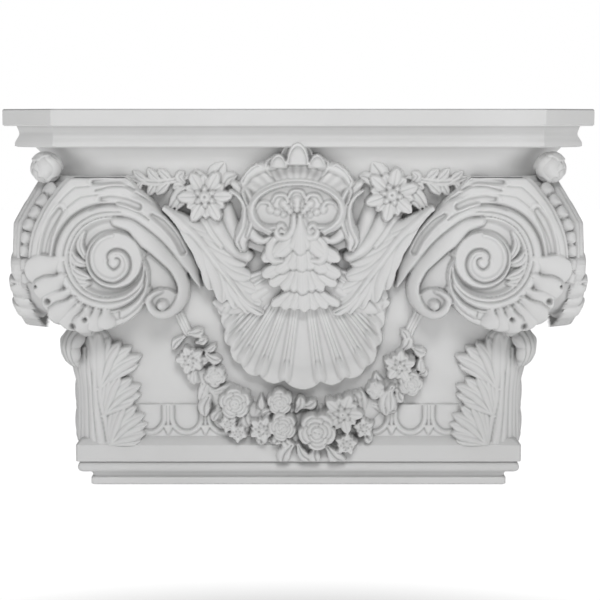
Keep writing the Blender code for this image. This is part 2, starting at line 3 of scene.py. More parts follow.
import bmesh
import bpy
import numpy as np
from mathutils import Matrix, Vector


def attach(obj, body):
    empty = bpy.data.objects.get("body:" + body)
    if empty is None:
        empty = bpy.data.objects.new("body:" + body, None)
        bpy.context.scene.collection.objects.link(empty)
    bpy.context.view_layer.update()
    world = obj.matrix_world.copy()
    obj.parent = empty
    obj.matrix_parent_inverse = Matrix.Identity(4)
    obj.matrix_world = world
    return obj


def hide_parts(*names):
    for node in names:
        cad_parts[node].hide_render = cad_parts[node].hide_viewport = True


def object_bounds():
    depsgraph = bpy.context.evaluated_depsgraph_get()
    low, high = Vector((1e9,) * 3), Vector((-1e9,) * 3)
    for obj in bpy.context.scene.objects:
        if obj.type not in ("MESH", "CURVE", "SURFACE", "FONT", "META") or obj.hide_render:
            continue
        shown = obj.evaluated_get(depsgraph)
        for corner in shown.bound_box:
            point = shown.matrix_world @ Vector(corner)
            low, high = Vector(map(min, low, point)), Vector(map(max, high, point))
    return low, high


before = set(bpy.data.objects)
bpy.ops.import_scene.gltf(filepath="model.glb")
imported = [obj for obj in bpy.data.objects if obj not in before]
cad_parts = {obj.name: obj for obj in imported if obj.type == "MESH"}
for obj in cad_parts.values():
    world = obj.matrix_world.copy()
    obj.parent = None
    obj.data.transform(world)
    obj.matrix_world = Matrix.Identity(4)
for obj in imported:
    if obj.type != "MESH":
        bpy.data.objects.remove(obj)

CAD_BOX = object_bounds()
NODE = "pilaster_capital"

# The carving's own frame is in millimetres: x right of the centre line, depth out from the
# wall, z up from the underside. These sizes repeat the solid's.
MM = 0.001
FIXING_HEIGHT = 190.0
CORNER = 173.0
ABACUS_CHAMFER = 56.0
BELL_CHAMFER = 14.0
ABACUS_DEPTH = 125.0
BELL_FOOT = 53.0
FRIEZE_FOOT = 322.0
MOULDING_UNDERSIDE = 351.0
FRIEZE_FOOT_DEPTH = 86.0
BELL_DEPTH = 50.0
SCROLL_FACE_DEPTH = 111.0
SCROLL_X = 183.0
SCROLL_Z = 240.0
SIDES = ((-1, "left"), (1, "right"))
# The depth that stands for nothing, how far a relief's skirt dips, and the size of its cells
NONE = -50.0
SKIRT = 2.5
CELL = 0.75


def place(x, depth, z):
    return x * MM, -depth * MM, (z - FIXING_HEIGHT) * MM


def place_array(x, depth, z):
    return np.stack(place(x, depth, z), axis=-1).reshape(-1, 3)


def link(name, data):
    obj = bpy.data.objects.new(name, data)
    bpy.context.scene.collection.objects.link(obj)
    return obj


def mirrored(knots, side, shift=0.0):
    """Knots given for the right half, flipped for the left and shifted."""
    return [(side * a + shift, b) for a, b in knots]


def table(rows, value):
    return np.interp(value, *zip(*rows))


def smooth(t):
    t = np.clip(t, 0.0, 1.0)
    return t * t * (3.0 - 2.0 * t)


def bell_depth(z):
    """Depth of the plain bell: nearly upright below, flaring out to the frieze."""
    t = np.clip((z - BELL_FOOT) / (FRIEZE_FOOT - BELL_FOOT), 0.0, 1.0)
    return BELL_DEPTH - 2.0 + (FRIEZE_FOOT_DEPTH - BELL_DEPTH + 2.0) * t**3


def over_bell(lift):
    return lambda x, z: bell_depth(z) + lift


def level(floor, x, z):
    """A floor is one depth, or a function of x and z."""
    return floor(x, z) if callable(floor) else floor


def curve_points(knots, count=40):
    """A smooth curve through the knots."""
    k = np.array(knots, float)
    k = np.vstack([2 * k[0] - k[1], k, 2 * k[-1] - k[-2]])
    spans = len(k) - 3
    t = np.linspace(0, spans, count)
    i = np.minimum(t.astype(int), spans - 1)
    f = (t - i)[:, None]
    a, b, c, d = k[i], k[i + 1], k[i + 2], k[i + 3]
    cubic = (3 * b - a - 3 * c + d) * f**3
    return 0.5 * (2 * b + (c - a) * f + (2 * a - 5 * b + 4 * c - d) * f**2 + cubic)


def along(x, z, line):
    """For each place: share of the way along the line, and distance to its left."""
    seg = line[1:] - line[:-1]
    size = np.hypot(seg[:, 0], seg[:, 1])
    start = np.concatenate([[0.0], np.cumsum(size)])
    best = np.full(x.shape, 1e9)
    share = np.zeros(x.shape)
    off = np.zeros(x.shape)
    for (px, pz), (dx, dz), length, before in zip(line, seg, size, start):
        t = np.clip(((x - px) * dx + (z - pz) * dz) / length**2, 0, 1)
        ex, ez = x - px - t * dx, z - pz - t * dz
        away = np.hypot(ex, ez)
        near = away < best
        share[near] = ((before + t * length) / start[-1])[near]
        off[near] = np.where(dx * ez - dz * ex > 0, away, -away)[near]
        best[near] = away[near]
    return share, off


def cap(q):
    """1 at the middle, falling as a quarter circle to 0 at |q| = 1 and beyond."""
    return np.sqrt(np.clip(1 - q * q, 0, 1))


def dome(q):
    """The same, with NONE outside."""
    return np.where(np.abs(q) < 1, cap(q), NONE)


def ring(value, middle, half):
    """A soft ridge of height 1 where the value is the middle."""
    return np.exp(-(((value - middle) / half) ** 2))


def blur(depth):
    padded = np.pad(depth, 1, mode="edge")
    rows = (padded[:-2] + 2 * padded[1:-1] + padded[2:]) / 4
    return (rows[:, :-2] + 2 * rows[:, 1:-1] + rows[:, 2:]) / 4


def box_of(line, pad):
    low, high = line.min(axis=0) - pad, line.max(axis=0) + pad
    return low[0], high[0], low[1], high[1]


def touched(mask):
    """The cells that have a corner in the mask."""
    return mask[:-1, :-1] | mask[1:, :-1] | mask[:-1, 1:] | mask[1:, 1:]


def sheet_faces(index):
    """One quad for each cell of a sheet of points."""
    return np.stack([index[:-1, :-1], index[:-1, 1:], index[1:, 1:], index[1:, :-1]], axis=-1)


def mesh_object(name, verts, faces):
    mesh = bpy.data.meshes.new(name)
    mesh.from_pydata(verts.tolist(), [], faces.tolist())
    mesh.validate()
    bm = bmesh.new()
    bm.from_mesh(mesh)
    bmesh.ops.recalc_face_normals(bm, faces=bm.faces)
    bm.to_mesh(mesh)
    bm.free()
    mesh.shade_smooth()
    return link(name, mesh)


def tube(name, verts, rows, around):
    """A mesh of rows of points, each row closed into a ring."""
    index = np.arange(rows * around).reshape(rows, around)
    index = np.hstack([index, index[:, :1]])
    return mesh_object(name, verts, sheet_faces(index).reshape(-1, 4))


# Reach, lift and turn of the rings of an open flower, and the size of its heart
BLOSSOM_RINGS = ((1.0, 0.58, 0.0), (0.8, 0.44, 0.5), (0.4, 0.78, 0.5))
HEART = 0.22
# Reach, lift, number of petals and turn of the rings of a rose
ROSE_RINGS = ((1.0, 0.42, 5, 0.0), (0.76, 0.6, 4, 0.35), (0.52, 0.76, 3, 0.1), (0.3, 0.9, 2, 0.6))


class Relief:
    """A depth map that forms are stamped into. The highest wins."""

    def __init__(self, x_low, x_high, z_low, z_high):
        self.xs = np.arange(x_low, x_high + CELL, CELL)
        self.zs = np.arange(z_low, z_high + CELL, CELL)
        self.x, self.z = np.meshgrid(self.xs, self.zs)
        self.depth = np.full(self.x.shape, NONE)

    def window(self, x_low, x_high, z_low, z_high):
        i = slice(*np.searchsorted(self.xs, (x_low, x_high)))
        j = slice(*np.searchsorted(self.zs, (z_low, z_high)))
        return j, i

    def stamp(self, box, form):
        """form(x, z) gives the depth inside the box, NONE where it has nothing."""
        win = self.window(*box)
        self.depth[win] = np.maximum(self.depth[win], form(self.x[win], self.z[win]))

    def cut(self, box, form):
        """form(x, z) gives the depth that is taken off what is there."""
        win = self.window(*box)
        self.depth[win] -= form(self.x[win], self.z[win])

    def bar(self, knots, widths, rise, floor, power=0.5):
        """A round bar along a curve, with its half widths from end to end."""
        line = curve_points(knots)

        def form(x, z):
            share, off = along(x, z, line)
            q = np.abs(off) / np.interp(share, np.linspace(0, 1, len(widths)), widths)
            return np.where(q < 1, level(floor, x, z) + rise * np.clip(1 - q * q, 0, 1) ** power, NONE)

        self.stamp(box_of(line, max(widths) + 1), form)

    def petal(self, knots, half, rise, floor, crease=0.25, edge=0.45, tilt=0.0, point=0.75, blunt=0.5):
        """A creased leaf lobe along a curve: it broadens to its middle and closes past blunt."""
        line = curve_points(knots, 18)

        def form(x, z):
            share, off = along(x, z, line)
            tip = np.clip((share - blunt) / (1 - blunt), 0, 1)
            body = half * (0.45 + 0.55 * smooth(share / 0.5)) * np.clip(1 - tip**2, 0, 1) ** point
            t = off / np.maximum(body, 0.01)
            across = edge + (1 - edge) * cap(t) + tilt * t
            h = across * (0.72 + 0.28 * np.sin(np.pi * share)) - crease * ring(off, 0.0, 1.1)
            return np.where(np.abs(t) < 1, level(floor, x, z) + rise * h, NONE)

        self.stamp(box_of(line, half + 1), form)

    def flower(self, cx, cz, radius, rise, floor, heights):
        """heights(angle, away) gives a flower's height round its middle, for a rise of 1."""
        def form(x, z):
            dx, dz = x - cx, z - cz
            h = heights(np.arctan2(dz, dx), np.hypot(dx, dz))
            return np.where(h > 0, level(floor, x, z) + rise * h, NONE)

        self.stamp((cx - radius, cx + radius, cz - radius, cz + radius), form)

    def blossom(self, cx, cz, radius, petals, rise, floor, turn):
        """An open flower: three rings of petals and a seeded heart."""
        def heights(angle, away):
            angle = angle + turn
            h = np.full(away.shape, NONE)
            for reach, lift, shift in BLOSSOM_RINGS:
                phase = (petals * angle / (2 * np.pi) + shift) % 1.0
                side = np.abs(2 * phase - 1)
                outline = np.cos(0.5 * np.pi * np.clip(side, 0, 0.97)) ** 0.38 * (1 - 0.2 * side)
                t = away / (reach * radius * outline)
                petal = lift * (0.62 + 0.38 * (1 - side**2)) * (0.72 + 0.4 * np.sin(2.3 * np.clip(t, 0, 1)))
                petal = petal + 0.02 * np.cos(5 * np.pi * side) - 0.1 * ring(side, 0.0, 0.1) + 0.08 * phase
                h = np.maximum(h, np.where(t < 1, petal, NONE))
            b = away / (radius * HEART)
            seeds = 0.75 + 0.45 * cap(b) + 0.07 * np.cos(9 * angle) * b - 0.22 * ring(b, 0.0, 0.35)
            return np.maximum(h, np.where(b < 1, seeds, NONE))

        self.flower(cx, cz, radius, rise, floor, heights)

    def rose(self, cx, cz, radius, rise, floor, turn):
        """A rose: rings of cupped petals, each inside and above the last."""
        def heights(angle, away):
            h = np.full(away.shape, NONE)
            for reach, lift, petals, shift in ROSE_RINGS:
                side = np.abs(2 * ((petals * (angle + turn) / (2 * np.pi) + shift) % 1.0) - 1)
                t = away / (reach * radius * (1 - 0.16 * side**3))
                cup = lift + 0.12 * np.clip(t, 0, 1) ** 3 - 0.12 * ring(side, 1.0, 0.12)
                h = np.maximum(h, np.where(t < 1, cup - 0.2 * smooth((t - 0.9) / 0.1), NONE))
            return h

        self.flower(cx, cz, radius, rise, floor, heights)

    def pit(self, cx, cz, radius, deep):
        """A drilled hollow, as at the heart of a curled leaf."""
        self.cut((cx - 2 * radius, cx + 2 * radius, cz - 2 * radius, cz + 2 * radius),
                 lambda x, z: deep * np.exp(-((np.hypot(x - cx, z - cz) / radius) ** 4)))

    def piece(self, name, ground, to_place):
        """The mesh of what stands over the ground, with a skirt that dips into it."""
        ground_here = ground(self.x, self.z)
        solid = self.depth > ground_here
        depth = blur(np.where(solid, self.depth, ground_here - SKIRT))
        faces = sheet_faces(np.arange(solid.size).reshape(solid.shape))[touched(solid)]
        used, faces = np.unique(faces, return_inverse=True)
        verts = to_place(self.x.ravel()[used], depth.ravel()[used], self.z.ravel()[used])
        return mesh_object(name, np.stack(verts, axis=1), faces.reshape(-1, 4))


# Centre carving
SHELL_X = 4.5
SHELL_Z = 240.0
# The shell's ribs in degrees from straight down, and how far out each one ends
SHELL_RIBS = (-72, -57, -47, -39, -30, -20, -8.5, 8, 19, 30, 39.5, 47, 58, 72)
SHELL_REACH = (84, 94, 108, 118, 127, 130, 129, 130, 132, 130, 119, 108, 94, 84)
EGG_PITCH = 38.5
EGG_Z = 73.0
# Lift, knots, half width and rise of the broad folds at each end of the shell
SHELL_CURLS = (
    (8, ((14, 218), (52, 196), (86, 183)), 14, 9), (12, ((36, 206), (66, 190), (91, 194)), 9, 8),
)


def carve_shell(relief):
    ribs = np.array(SHELL_RIBS, float)
    reach = np.array(SHELL_REACH, float)

    def form(x, z):
        dx, dz = x - SHELL_X, SHELL_Z - z
        angle = np.degrees(np.arctan2(dx, dz))
        i = np.clip(np.searchsorted(ribs, angle) - 1, 0, len(ribs) - 2)
        width = ribs[i + 1] - ribs[i]
        t = np.clip((angle - ribs[i]) / width, 0, 1)
        swell = np.sin(np.pi * t)
        end = reach[i] * (1 - t) + reach[i + 1] * t + 9.0 * swell**0.7 * np.clip(width / 18, 0.6, 1.2)
        q = np.hypot(dx, dz) / end
        inside = (angle > ribs[0]) & (angle < ribs[-1]) & (q < 1)
        hollow = 5.5 * swell**0.6 * np.clip(q * 1.3, 0, 1)
        edge = np.minimum(t, 1 - t) * np.radians(width) * np.hypot(dx, dz)
        split = 2.4 + 3.0 * q**2
        bead = 2.2 * ring(edge, split, 1.2) - 2.0 * ring(edge, 0.0, 1.2) - 0.5 * ring(edge, split + 2.4, 1.1)
        bead = bead * np.clip(q * 4 - 1, 0, 1) * np.clip(1 - (q - 0.9) / 0.08, 0, 1)
        lip = 3.6 * smooth((q - 0.82) / 0.12) * (0.2 + 0.8 * swell**0.6)
        curl = 4.0 * cap(np.hypot(edge / 6.0, (q - 0.91) / 0.09))
        rise = 8 + 16 * q**1.3 - 6 * q**8 - hollow + np.maximum(bead, curl) + lip
        return np.where(inside, bell_depth(z) + rise, NONE)

    relief.stamp((-110, 110, 100, 245), form)
    for side in (-1, 1):
        for shift, knots, half, rise in SHELL_CURLS:
            relief.petal(mirrored(knots, side, 3), half, rise, over_bell(shift),
                         crease=0.0, edge=0.3, point=0.5, blunt=0.6)


def carve_eggs(relief):
    def form(x, z):
        u = (x / EGG_PITCH + 0.5) % 1.0 * EGG_PITCH - EGG_PITCH / 2
        above = z - EGG_Z
        away = np.where(above > 0, np.abs(u), np.hypot(u, 0.92 * above))
        egg = 4.0 * cap(away / 12.0) - 0.7 * ring(away, 12.6, 1.0)
        frame_line = np.maximum(3.0 * dome((away - 15.6) / 2.4), 0)
        edge = EGG_PITCH / 2 - np.abs(u)
        dart = np.where(z > EGG_Z - 17, np.maximum(3.0 * dome(edge / 1.5), 0), 0)
        point = np.where((np.abs(z - EGG_Z + 14) < 5) & (edge < (z - EGG_Z + 20) * 0.5), 3.0, 0)
        return bell_depth(z) + 0.8 + np.maximum(np.maximum(egg, frame_line), np.maximum(dart, point))

    relief.stamp((-168, 168, EGG_Z - 22, EGG_Z + 14), form)


# How far the cartouche's frame reaches, by degrees from the top
CARTOUCHE_EDGE = ((0, 67), (12, 64), (17, 57), (20, 60), (33, 58), (37, 49), (40, 62), (62, 64), (67, 58),
                  (72, 58), (84, 50), (100, 44), (125, 40))
# Knots, half widths, rise and lift of the leaves and stems on either side of the cartouche
CARTOUCHE_LEAVES = (
    (((23, 332), (36, 331), (47, 325), (52, 316)), (3, 5.5, 5.5, 3), 8, 98),
    (((63, 315), (53, 306), (48, 294), (49, 278), (55, 260), (53, 250)), (4, 9, 8, 8, 8, 3), 8, 91),
    (((66, 308), (57, 301), (52, 289), (54, 272), (60, 258), (56, 248)), (2, 2.4, 2.4, 2.4, 2.4, 1), 5, 97),
    (((56, 316), (48, 305), (44, 292), (45, 277), (50, 262)), (2, 2.4, 2.4, 2.4, 1), 5, 98),
    (((47, 292), (42, 277), (33, 271), (22, 272)), (3.5, 5, 4.5, 2), 9, 96),
    (((49, 278), (44, 264), (34, 258), (27, 262)), (4, 6, 5, 2), 8, 90),
    (((3, 283), (4, 270), (10, 262), (18, 262), (21, 269), (16, 274), (12, 271)),
     (2.4, 3, 3.4, 3.4, 3, 2.6, 2), 4, 95),
    (((14, 262), (24, 258), (28, 247), (24, 238), (15, 238)), (2.5, 4, 4.6, 4, 2), 4, 92),
)


def carve_cartouche(relief):
    cx, cz, wide, tall = -1.5, 289.0, 43.0, 25.0

    def form(x, z):
        dx, dz = x - cx, z - cz
        oval = np.hypot(dx / wide, dz / tall)
        away = np.hypot(dx, dz)
        over = np.degrees(np.arctan2(np.abs(dx), dz))
        edge = table(CARTOUCHE_EDGE, over)
        turn = np.radians(over)
        inner = 1 / np.hypot(np.sin(turn) / (wide + 4), np.cos(turn) / (tall + 4))
        t = np.clip((away - inner) / (edge - inner), 0, 1)
        flutes = np.cos(34 * turn) + 0.4 * np.cos(17 * turn)
        cove = 103 - 8 * np.sin(np.pi * t) + 6 * t + 0.8 * flutes * np.sin(np.pi * t)
        h = np.where((away > inner) & (away < edge) & (over < 112), cove, NONE)
        bead = 104 + 4 * np.maximum(dome((oval - 1.04) / 0.07), 0)
        rim = np.where((oval > 0.98) & (away < inner + 2) & (over < 132), bead, NONE)
        bowl = np.where(oval < 1, 91 + 5 * oval**2, NONE)
        return np.maximum(np.maximum(h, rim), bowl)

    relief.stamp((-75, 75, 240, 360), form)
    for lobe_x, lobe_z, width, rise in ((-0.5, 334, 11.5, 23), (-19.5, 331, 8.5, 14), (18.5, 331, 8.5, 14)):
        def lobe(x, z):
            q = np.hypot((x - lobe_x) / width, (z - lobe_z) / rise)
            h = 114 + 5 * cap(q) - 2 * ring(q, 0.78, 0.07)
            return np.where(q < 1, h, NONE)

        relief.stamp((lobe_x - width, lobe_x + width, lobe_z, lobe_z + rise), lobe)
    for step in (-2, 2, -1, 1, 0):
        tip_x, tip_z = cx + 16.5 * step, 308.5 - 3.2 * abs(step) - 1.3 * step**2
        arch = [(tip_x + a, tip_z + b) for a, b in ((-8, -7), (-5, -1.5), (0, 0), (5, -1.5), (8, -7))]
        relief.bar(arch, (1.6, 2, 2.2, 2, 1.6), 5, 92)
        for k, size in enumerate((4.2, 3.4, 2.8)):
            near = 0.2 + 0.2 * k
            bead_x, bead_z = tip_x + near * (cx - tip_x), tip_z - 5 + near * (284 - tip_z)
            relief.bar(((bead_x, bead_z), (bead_x, bead_z - 0.2)), (size, size), size, 92)
    relief.bar(((-52, 262), (cx, 256), (50, 262)), (12, 22, 12), 6, 77)
    relief.bar(((-44, 271), (cx, 268), (41, 271)), (9, 13, 9), 6, 87)
    for side in (-1, 1):
        for knots, widths, rise, lift in CARTOUCHE_LEAVES:
            relief.bar(mirrored(knots, side, cx), widths, rise, lift)


# The hanging palmette, row over row: root, lift and the tip and half width of each lobe
DROP_ROWS = (
    ((5, 224), 79, ((-28, 190, 5.6), (-17, 187, 5.6), (-6, 186, 5.6), (42, 191, 5.6), (30, 188, 5.6),
     (18, 186, 5.6), (6, 184, 6.4))),
    ((4, 244), 86, ((-30, 212, 6.4), (-17, 207, 5.6), (-6, 206, 5), (39, 212, 6.4), (26, 207, 5.6),
     (15, 206, 5), (4.5, 203, 6.2))),
    ((3, 260), 91, ((-37, 221, 6.6), (-22, 226, 6.4), (-8, 229, 6), (43, 221, 6.6), (28, 226, 6.4),
     (14, 229, 6), (3.5, 227, 6))),
    ((2, 278), 95, ((-37, 237, 7), (-22, 243, 7), (42, 237, 7), (27, 243, 7), (-6, 249, 5), (9, 249, 5),
     (1.6, 244, 6.4))),
)


def carve_drop(relief):
    for (root_x, root_z), lift, lobes in DROP_ROWS:
        for tip_x, tip_z, half in lobes:
            out = tip_x - root_x
            middle = (root_x + 0.42 * out, 0.4 * root_z + 0.6 * tip_z)
            knots = ((root_x + 0.1 * out, root_z), middle, (tip_x, tip_z))
            relief.petal(knots, half, 6, lift - 0.14 * abs(out),
                         crease=0.06, edge=0.35, point=0.5, blunt=0.82)


# Share along the midrib, tip and half width of each lobe of the long leaf from scroll to shell
BRANCH_LOBES = (
    (0.38, (91, 222), 9.5), (0.50, (88, 206), 10), (0.63, (77, 193), 10), (0.76, (64, 186), 9),
    (0.88, (51, 181), 8), (0.20, (92, 264), 8), (0.34, (68, 245), 9), (0.46, (51, 233), 9),
    (0.59, (47, 219), 9), (0.72, (41, 205), 8.5), (0.86, (36, 193), 7.5), (0.97, (35, 181), 7),
)
BRANCH_MIDRIB = ((133, 290), (119, 278), (109, 269), (99, 258), (89, 244), (79, 230), (69, 216), (59, 202),
                 (49, 192), (36, 185))


def carve_branch(relief, side):
    """The long leaf: lobes that overlap along its midrib, and the midrib over them."""
    def floor(x, z):
        return 66 + 30 * smooth((np.abs(x) - 40) / 110)

    rib = curve_points(BRANCH_MIDRIB, 60)
    for turn, (share, tip, width) in enumerate(BRANCH_LOBES):
        root, near = rib[int(59 * max(share - 0.3, 0))], rib[int(59 * (share - 0.08))]
        middle = near + 0.3 * (np.array(tip) - near)
        relief.petal(mirrored((root, middle, tip), side), width, 8 + 0.8 * (turn % 3), floor,
                     crease=0.1, tilt=0.25 * side, point=0.5, blunt=0.7)
    relief.bar(mirrored(BRANCH_MIDRIB, side), (3.4, 3.2, 2.8, 2.2, 1.2), 3, lambda x, z: floor(x, z) + 8)


# Root, middle, tip and half width of the leaves round the open flower
SPRAYS = (
    ((110, 321), (144, 316), (178, 323), 5), ((148, 316), (157, 321), (166, 328), 4.5),
    ((138, 317), (146, 324), (151, 331), 5), ((126, 317), (134, 324), (141, 330), 5),
    ((114, 316), (119, 322), (113, 327), 5), ((156, 316), (161, 310), (164, 303), 4.5),
    ((142, 316), (147, 309), (151, 302), 5), ((128, 317), (135, 311), (143, 303), 5.5),
    ((102, 311), (118, 305), (130, 288), 6.5), ((112, 309), (120, 313), (127, 309), 4),
    ((108, 299), (118, 296), (123, 288), 5), ((94, 308), (98, 319), (104, 329), 7),
    ((86, 310), (82, 324), (73, 337), 10), ((76, 310), (70, 320), (60, 323), 6.5),
)
# Knots and half widths of the flower's stalks
STALKS = (
    (((92, 290), (80, 267), (65, 249), (51, 241)), (10, 9, 8, 6)),
    (((73, 290), (65, 268), (56, 247)), (8, 7.5, 6)),
    (((100, 290), (92, 270), (78, 252)), (8, 8, 4)),
)


def carve_flower(relief, side):
    cx, cz = side * 93.0, 303.0 + side
    for knots, widths in STALKS:
        relief.bar(mirrored(knots, side), widths, 11, 74)
    for turn, (*knots, width) in enumerate(SPRAYS):
        relief.petal(mirrored(knots, side), width, 8, 84.5 + 0.9 * (turn % 3))
    relief.blossom(cx, cz, 28, 6, 17, 88, turn=0.35 - 0.15 * side)


# Garland: kind, x, z, radius and lift above the bell
GARLAND = (
    ("open", -111, 134, 15, 15), ("rose", -85, 117, 11.5, 16), ("bud", -107, 115, 9, 12),
    ("bud", -100, 102, 6, 11), ("rose", -65, 90, 16.5, 20), ("open", -72, 68, 10, 17),
    ("open", -62, 58, 10, 17), ("open", -37, 63, 14, 20), ("bud", -38, 89, 8, 14),
    ("rose", -19, 91, 13.5, 21), ("rose", -16, 66, 15, 23), ("rose", 19, 62, 20, 27),
    ("open", 45, 80, 21, 22), ("open", 49, 48, 12, 23), ("open", 67, 64, 11, 18),
    ("rose", 79, 103, 10, 18), ("bud", 94, 91, 12, 17), ("rose", 115, 109, 13, 16),
    ("open", 103, 128, 16.5, 17), ("bud", 125, 128, 9, 11),
)
# Root, tip, half width and lift of the leaves between the flowers
GARLAND_LEAVES = (
    ((-112, 161), (-97, 165), 6, 9), ((-117, 157), (-129, 143), 5, 9), ((-104, 151), (-94, 157), 5, 10),
    ((-94, 139), (-78, 133), 6, 12), ((-96, 143), (-84, 150), 4, 12), ((-92, 95), (-96, 74), 7, 13),
    ((-78, 100), (-49, 100), 6, 14), ((-80, 81), (-88, 69), 5, 13), ((-33, 56), (-39, 45), 7, 18),
    ((-17, 54), (-25, 46), 6, 21), ((-15, 54), (-7, 45), 6, 21), ((-7, 46), (-17, 25), 8, 22),
    ((0, 46), (12, 30), 6, 22), ((18, 44), (20, 26), 7, 22), ((30, 44), (50, 28), 8, 22),
    ((-2, 81), (2, 97), 6, 16), ((6, 85), (18, 93), 6, 16), ((61, 89), (55, 100), 6, 14),
    ((69, 56), (77, 50), 6, 14), ((96, 106), (90, 75), 7, 20), ((106, 143), (114, 159), 6, 9),
    ((118, 145), (132, 141), 6, 9), ((112, 151), (105, 165), 5, 9), ((124, 118), (132, 124), 5, 10),
    ((-54, 79), (-50, 64), 6, 15), ((102, 102), (108, 89), 6, 12), ((-27, 81), (-37, 75), 5, 16),
)
# The bed of small leaves that the garland lies on
GARLAND_BED = ((-112, 140), (-96, 112), (-64, 80), (-20, 66), (20, 62), (62, 76), (96, 108), (116, 134))


def carve_garland(relief):
    relief.bar(GARLAND_BED, (5, 9, 15, 17, 17, 15, 9, 5), 11, over_bell(2))
    bed = curve_points(GARLAND_BED, 27)
    for k in range(1, 26):
        (ax, az), (bx, bz) = bed[k - 1], bed[k + 1]
        run, climb = (bx - ax) / 2, (bz - az) / 2
        lean = 1 if k % 2 else -1
        tip = (bed[k][0] + run - 1.7 * lean * climb, bed[k][1] + climb + 1.7 * lean * run)
        relief.petal((bed[k], (bed[k] + tip) / 2, tip), 6, 6, over_bell(8 + k % 3))
    for (ax, az), (bx, bz), width, lift in GARLAND_LEAVES:
        middle = ((ax + bx) / 2 + 0.12 * (bz - az), (az + bz) / 2 - 0.12 * (bx - ax))
        relief.petal(((ax, az), middle, (bx, bz)), width, 8, over_bell(0.75 * lift), crease=0.35)
    for turn, (kind, cx, cz, radius, lift) in enumerate(GARLAND):
        if kind == "rose":
            relief.rose(cx, cz, radius, 0.75 * radius, over_bell(lift), turn)
        elif kind == "open":
            relief.blossom(cx, cz, 1.05 * radius, 5, 0.65 * radius, over_bell(lift), turn)
        else:
            for lean in (-0.7, 0.7, 0):
                tip = (cx + 0.9 * radius * math.sin(lean), cz - 0.9 * radius * math.cos(lean))
                relief.petal(((cx, cz + 0.9 * radius), (cx, cz), tip), 0.5 * radius, 0.7 * radius,
                             over_bell(lift - 3 * abs(lean)))


def make_centre():
    upper = Relief(-172, 172, 170, 358)
    for side in (-1, 1):
        carve_branch(upper, side)
        carve_flower(upper, side)
    carve_drop(upper)
    carve_cartouche(upper)
    lower = Relief(-172, 172, 30, 245)
    carve_eggs(lower)
    carve_shell(lower)
    carve_garland(lower)
    ground = over_bell(0)
    return [upper.piece("cartouche_carving", ground, place), lower.piece("shell_carving", ground, place)]


# Corner scrolls. Each table gives degrees from the top, turning inward, and a radius round the eye.
# Past 360 a table follows the band on its second turn, where it leaves the scroll.
EYE_RADIUS = 28.0
EYE_GROOVE = ((0, 10.5), (90, 16), (180, 23), (270, 25), (360, 28.4))
SPIRAL_START = ((0, 0), (90, 6), (180, 9), (270, 5.5), (360, 10.5))
HOLLOW_EDGE = ((90, 28.5), (135, 33), (180, 37), (225, 42.5), (270, 45.5), (315, 45.5), (360, 43), (403, 46),
               (444, 28.6))
BAND_EDGE = ((90, 29), (112, 33), (135, 41), (158, 46), (180, 50), (225, 56), (270, 60), (315, 59), (360, 55),
             (401, 54), (444, 29))
RIM = ((90, 29.5), (124, 41), (150, 52), (180, 62), (200, 70), (225, 78), (250, 83), (300, 84), (318, 87),
       (332, 92), (360, 92), (368, 84), (380, 74), (403, 66), (425, 54), (444, 29.5))
# Places below this many degrees belong to the second turn
SECOND_TURN = 84.0
# The frill takes the flutes' place between these degrees
FRILL = (174, 264)
SCROLL_LOW = 150
SCROLL_HIGH = 323
# How steeply the side faces lean in above one height and below another
SIDE_LEAN_FROM = 275.0
SIDE_LEAN = 0.5
SIDE_TUCK_FROM = 200.0
SIDE_TUCK = 0.3
# The ramp from the bell out to the front face, and how far that face falls away inward, from where
RAMP_START = 80
RAMP_END = 158
FACE_FALL = 24
FACE_FALL_FROM = 152
# Lines cut into the scroll's face where its bands run on into the tongue
SCROLL_LINES = (
    ((183, 284), (166, 281), (152, 272), (138, 259), (128, 247), (120, 236), (113, 225), (108, 216)),
    ((206, 290), (196, 294), (184, 295), (171, 292), (157, 286), (148, 280)),
    ((200, 309), (184, 313), (168, 312), (160, 306), (148, 298), (137, 289)),
)
# Knots, half widths, rise, lift over the ramp and roundness: tail, web, ground in the loop, tongue and stem
SCROLL_BARS = (
    (((150, 210), (160, 193), (174, 182), (192, 175)), (3, 5, 6, 4), 5, -6, 0.5),
    (((170, 290), (150, 276), (134, 260), (122, 244), (112, 228)), (14, 13, 11, 8, 4), 3, -4, 0.5),
    (((148, 240), (140, 226), (134, 206), (136, 196)), (9, 15, 14, 10), 2, -13, 0.5),
    (((168, 294), (156, 288), (145, 280), (133, 269), (123, 256), (115, 241), (108, 230), (104, 219),
      (100, 210)), (13, 12.5, 11.5, 10.7, 9.9, 8.6, 8, 5.4, 2), 6, -2, 0.4),
    (((181, 278), (166, 274), (155, 264), (142, 252), (132, 240), (123, 229), (117, 216), (116, 206),
      (119, 195), (127, 186), (136, 184), (145, 188), (150, 198), (145, 205), (138, 208)),
     (5, 6.5, 8, 9.3, 8.2, 6.8, 6.2, 6.4, 6.2, 6, 5.2, 4.6, 3.8, 3.2, 2.6), 6.5, -3.5, 0.4),
)
STEM_EYE = (136, 194)
TONGUE_SLOT = ((145, 284), (136, 277), (129, 269), (122, 259), (116, 246))
# Knots and half width of the scroll face's troughs
SLOTS = (
    (((194, 300), (184, 300), (171, 298), (158, 293)), 3.6),
    (((202, 317), (188, 318), (174, 318), (162, 312)), 3.2),
    (((236, 289), (244, 275), (249, 260), (252, 241)), 4.6),
)
# Root, middle, tip and half width of the small leaves in the hollow
FEATHERS = (
    ((227, 250), (221, 239), (209, 234), 5), ((229, 238), (221, 227), (206, 221), 5),
    ((227, 224), (218, 217), (206, 216), 4), ((213, 267), (217, 254), (210, 238), 4),
)
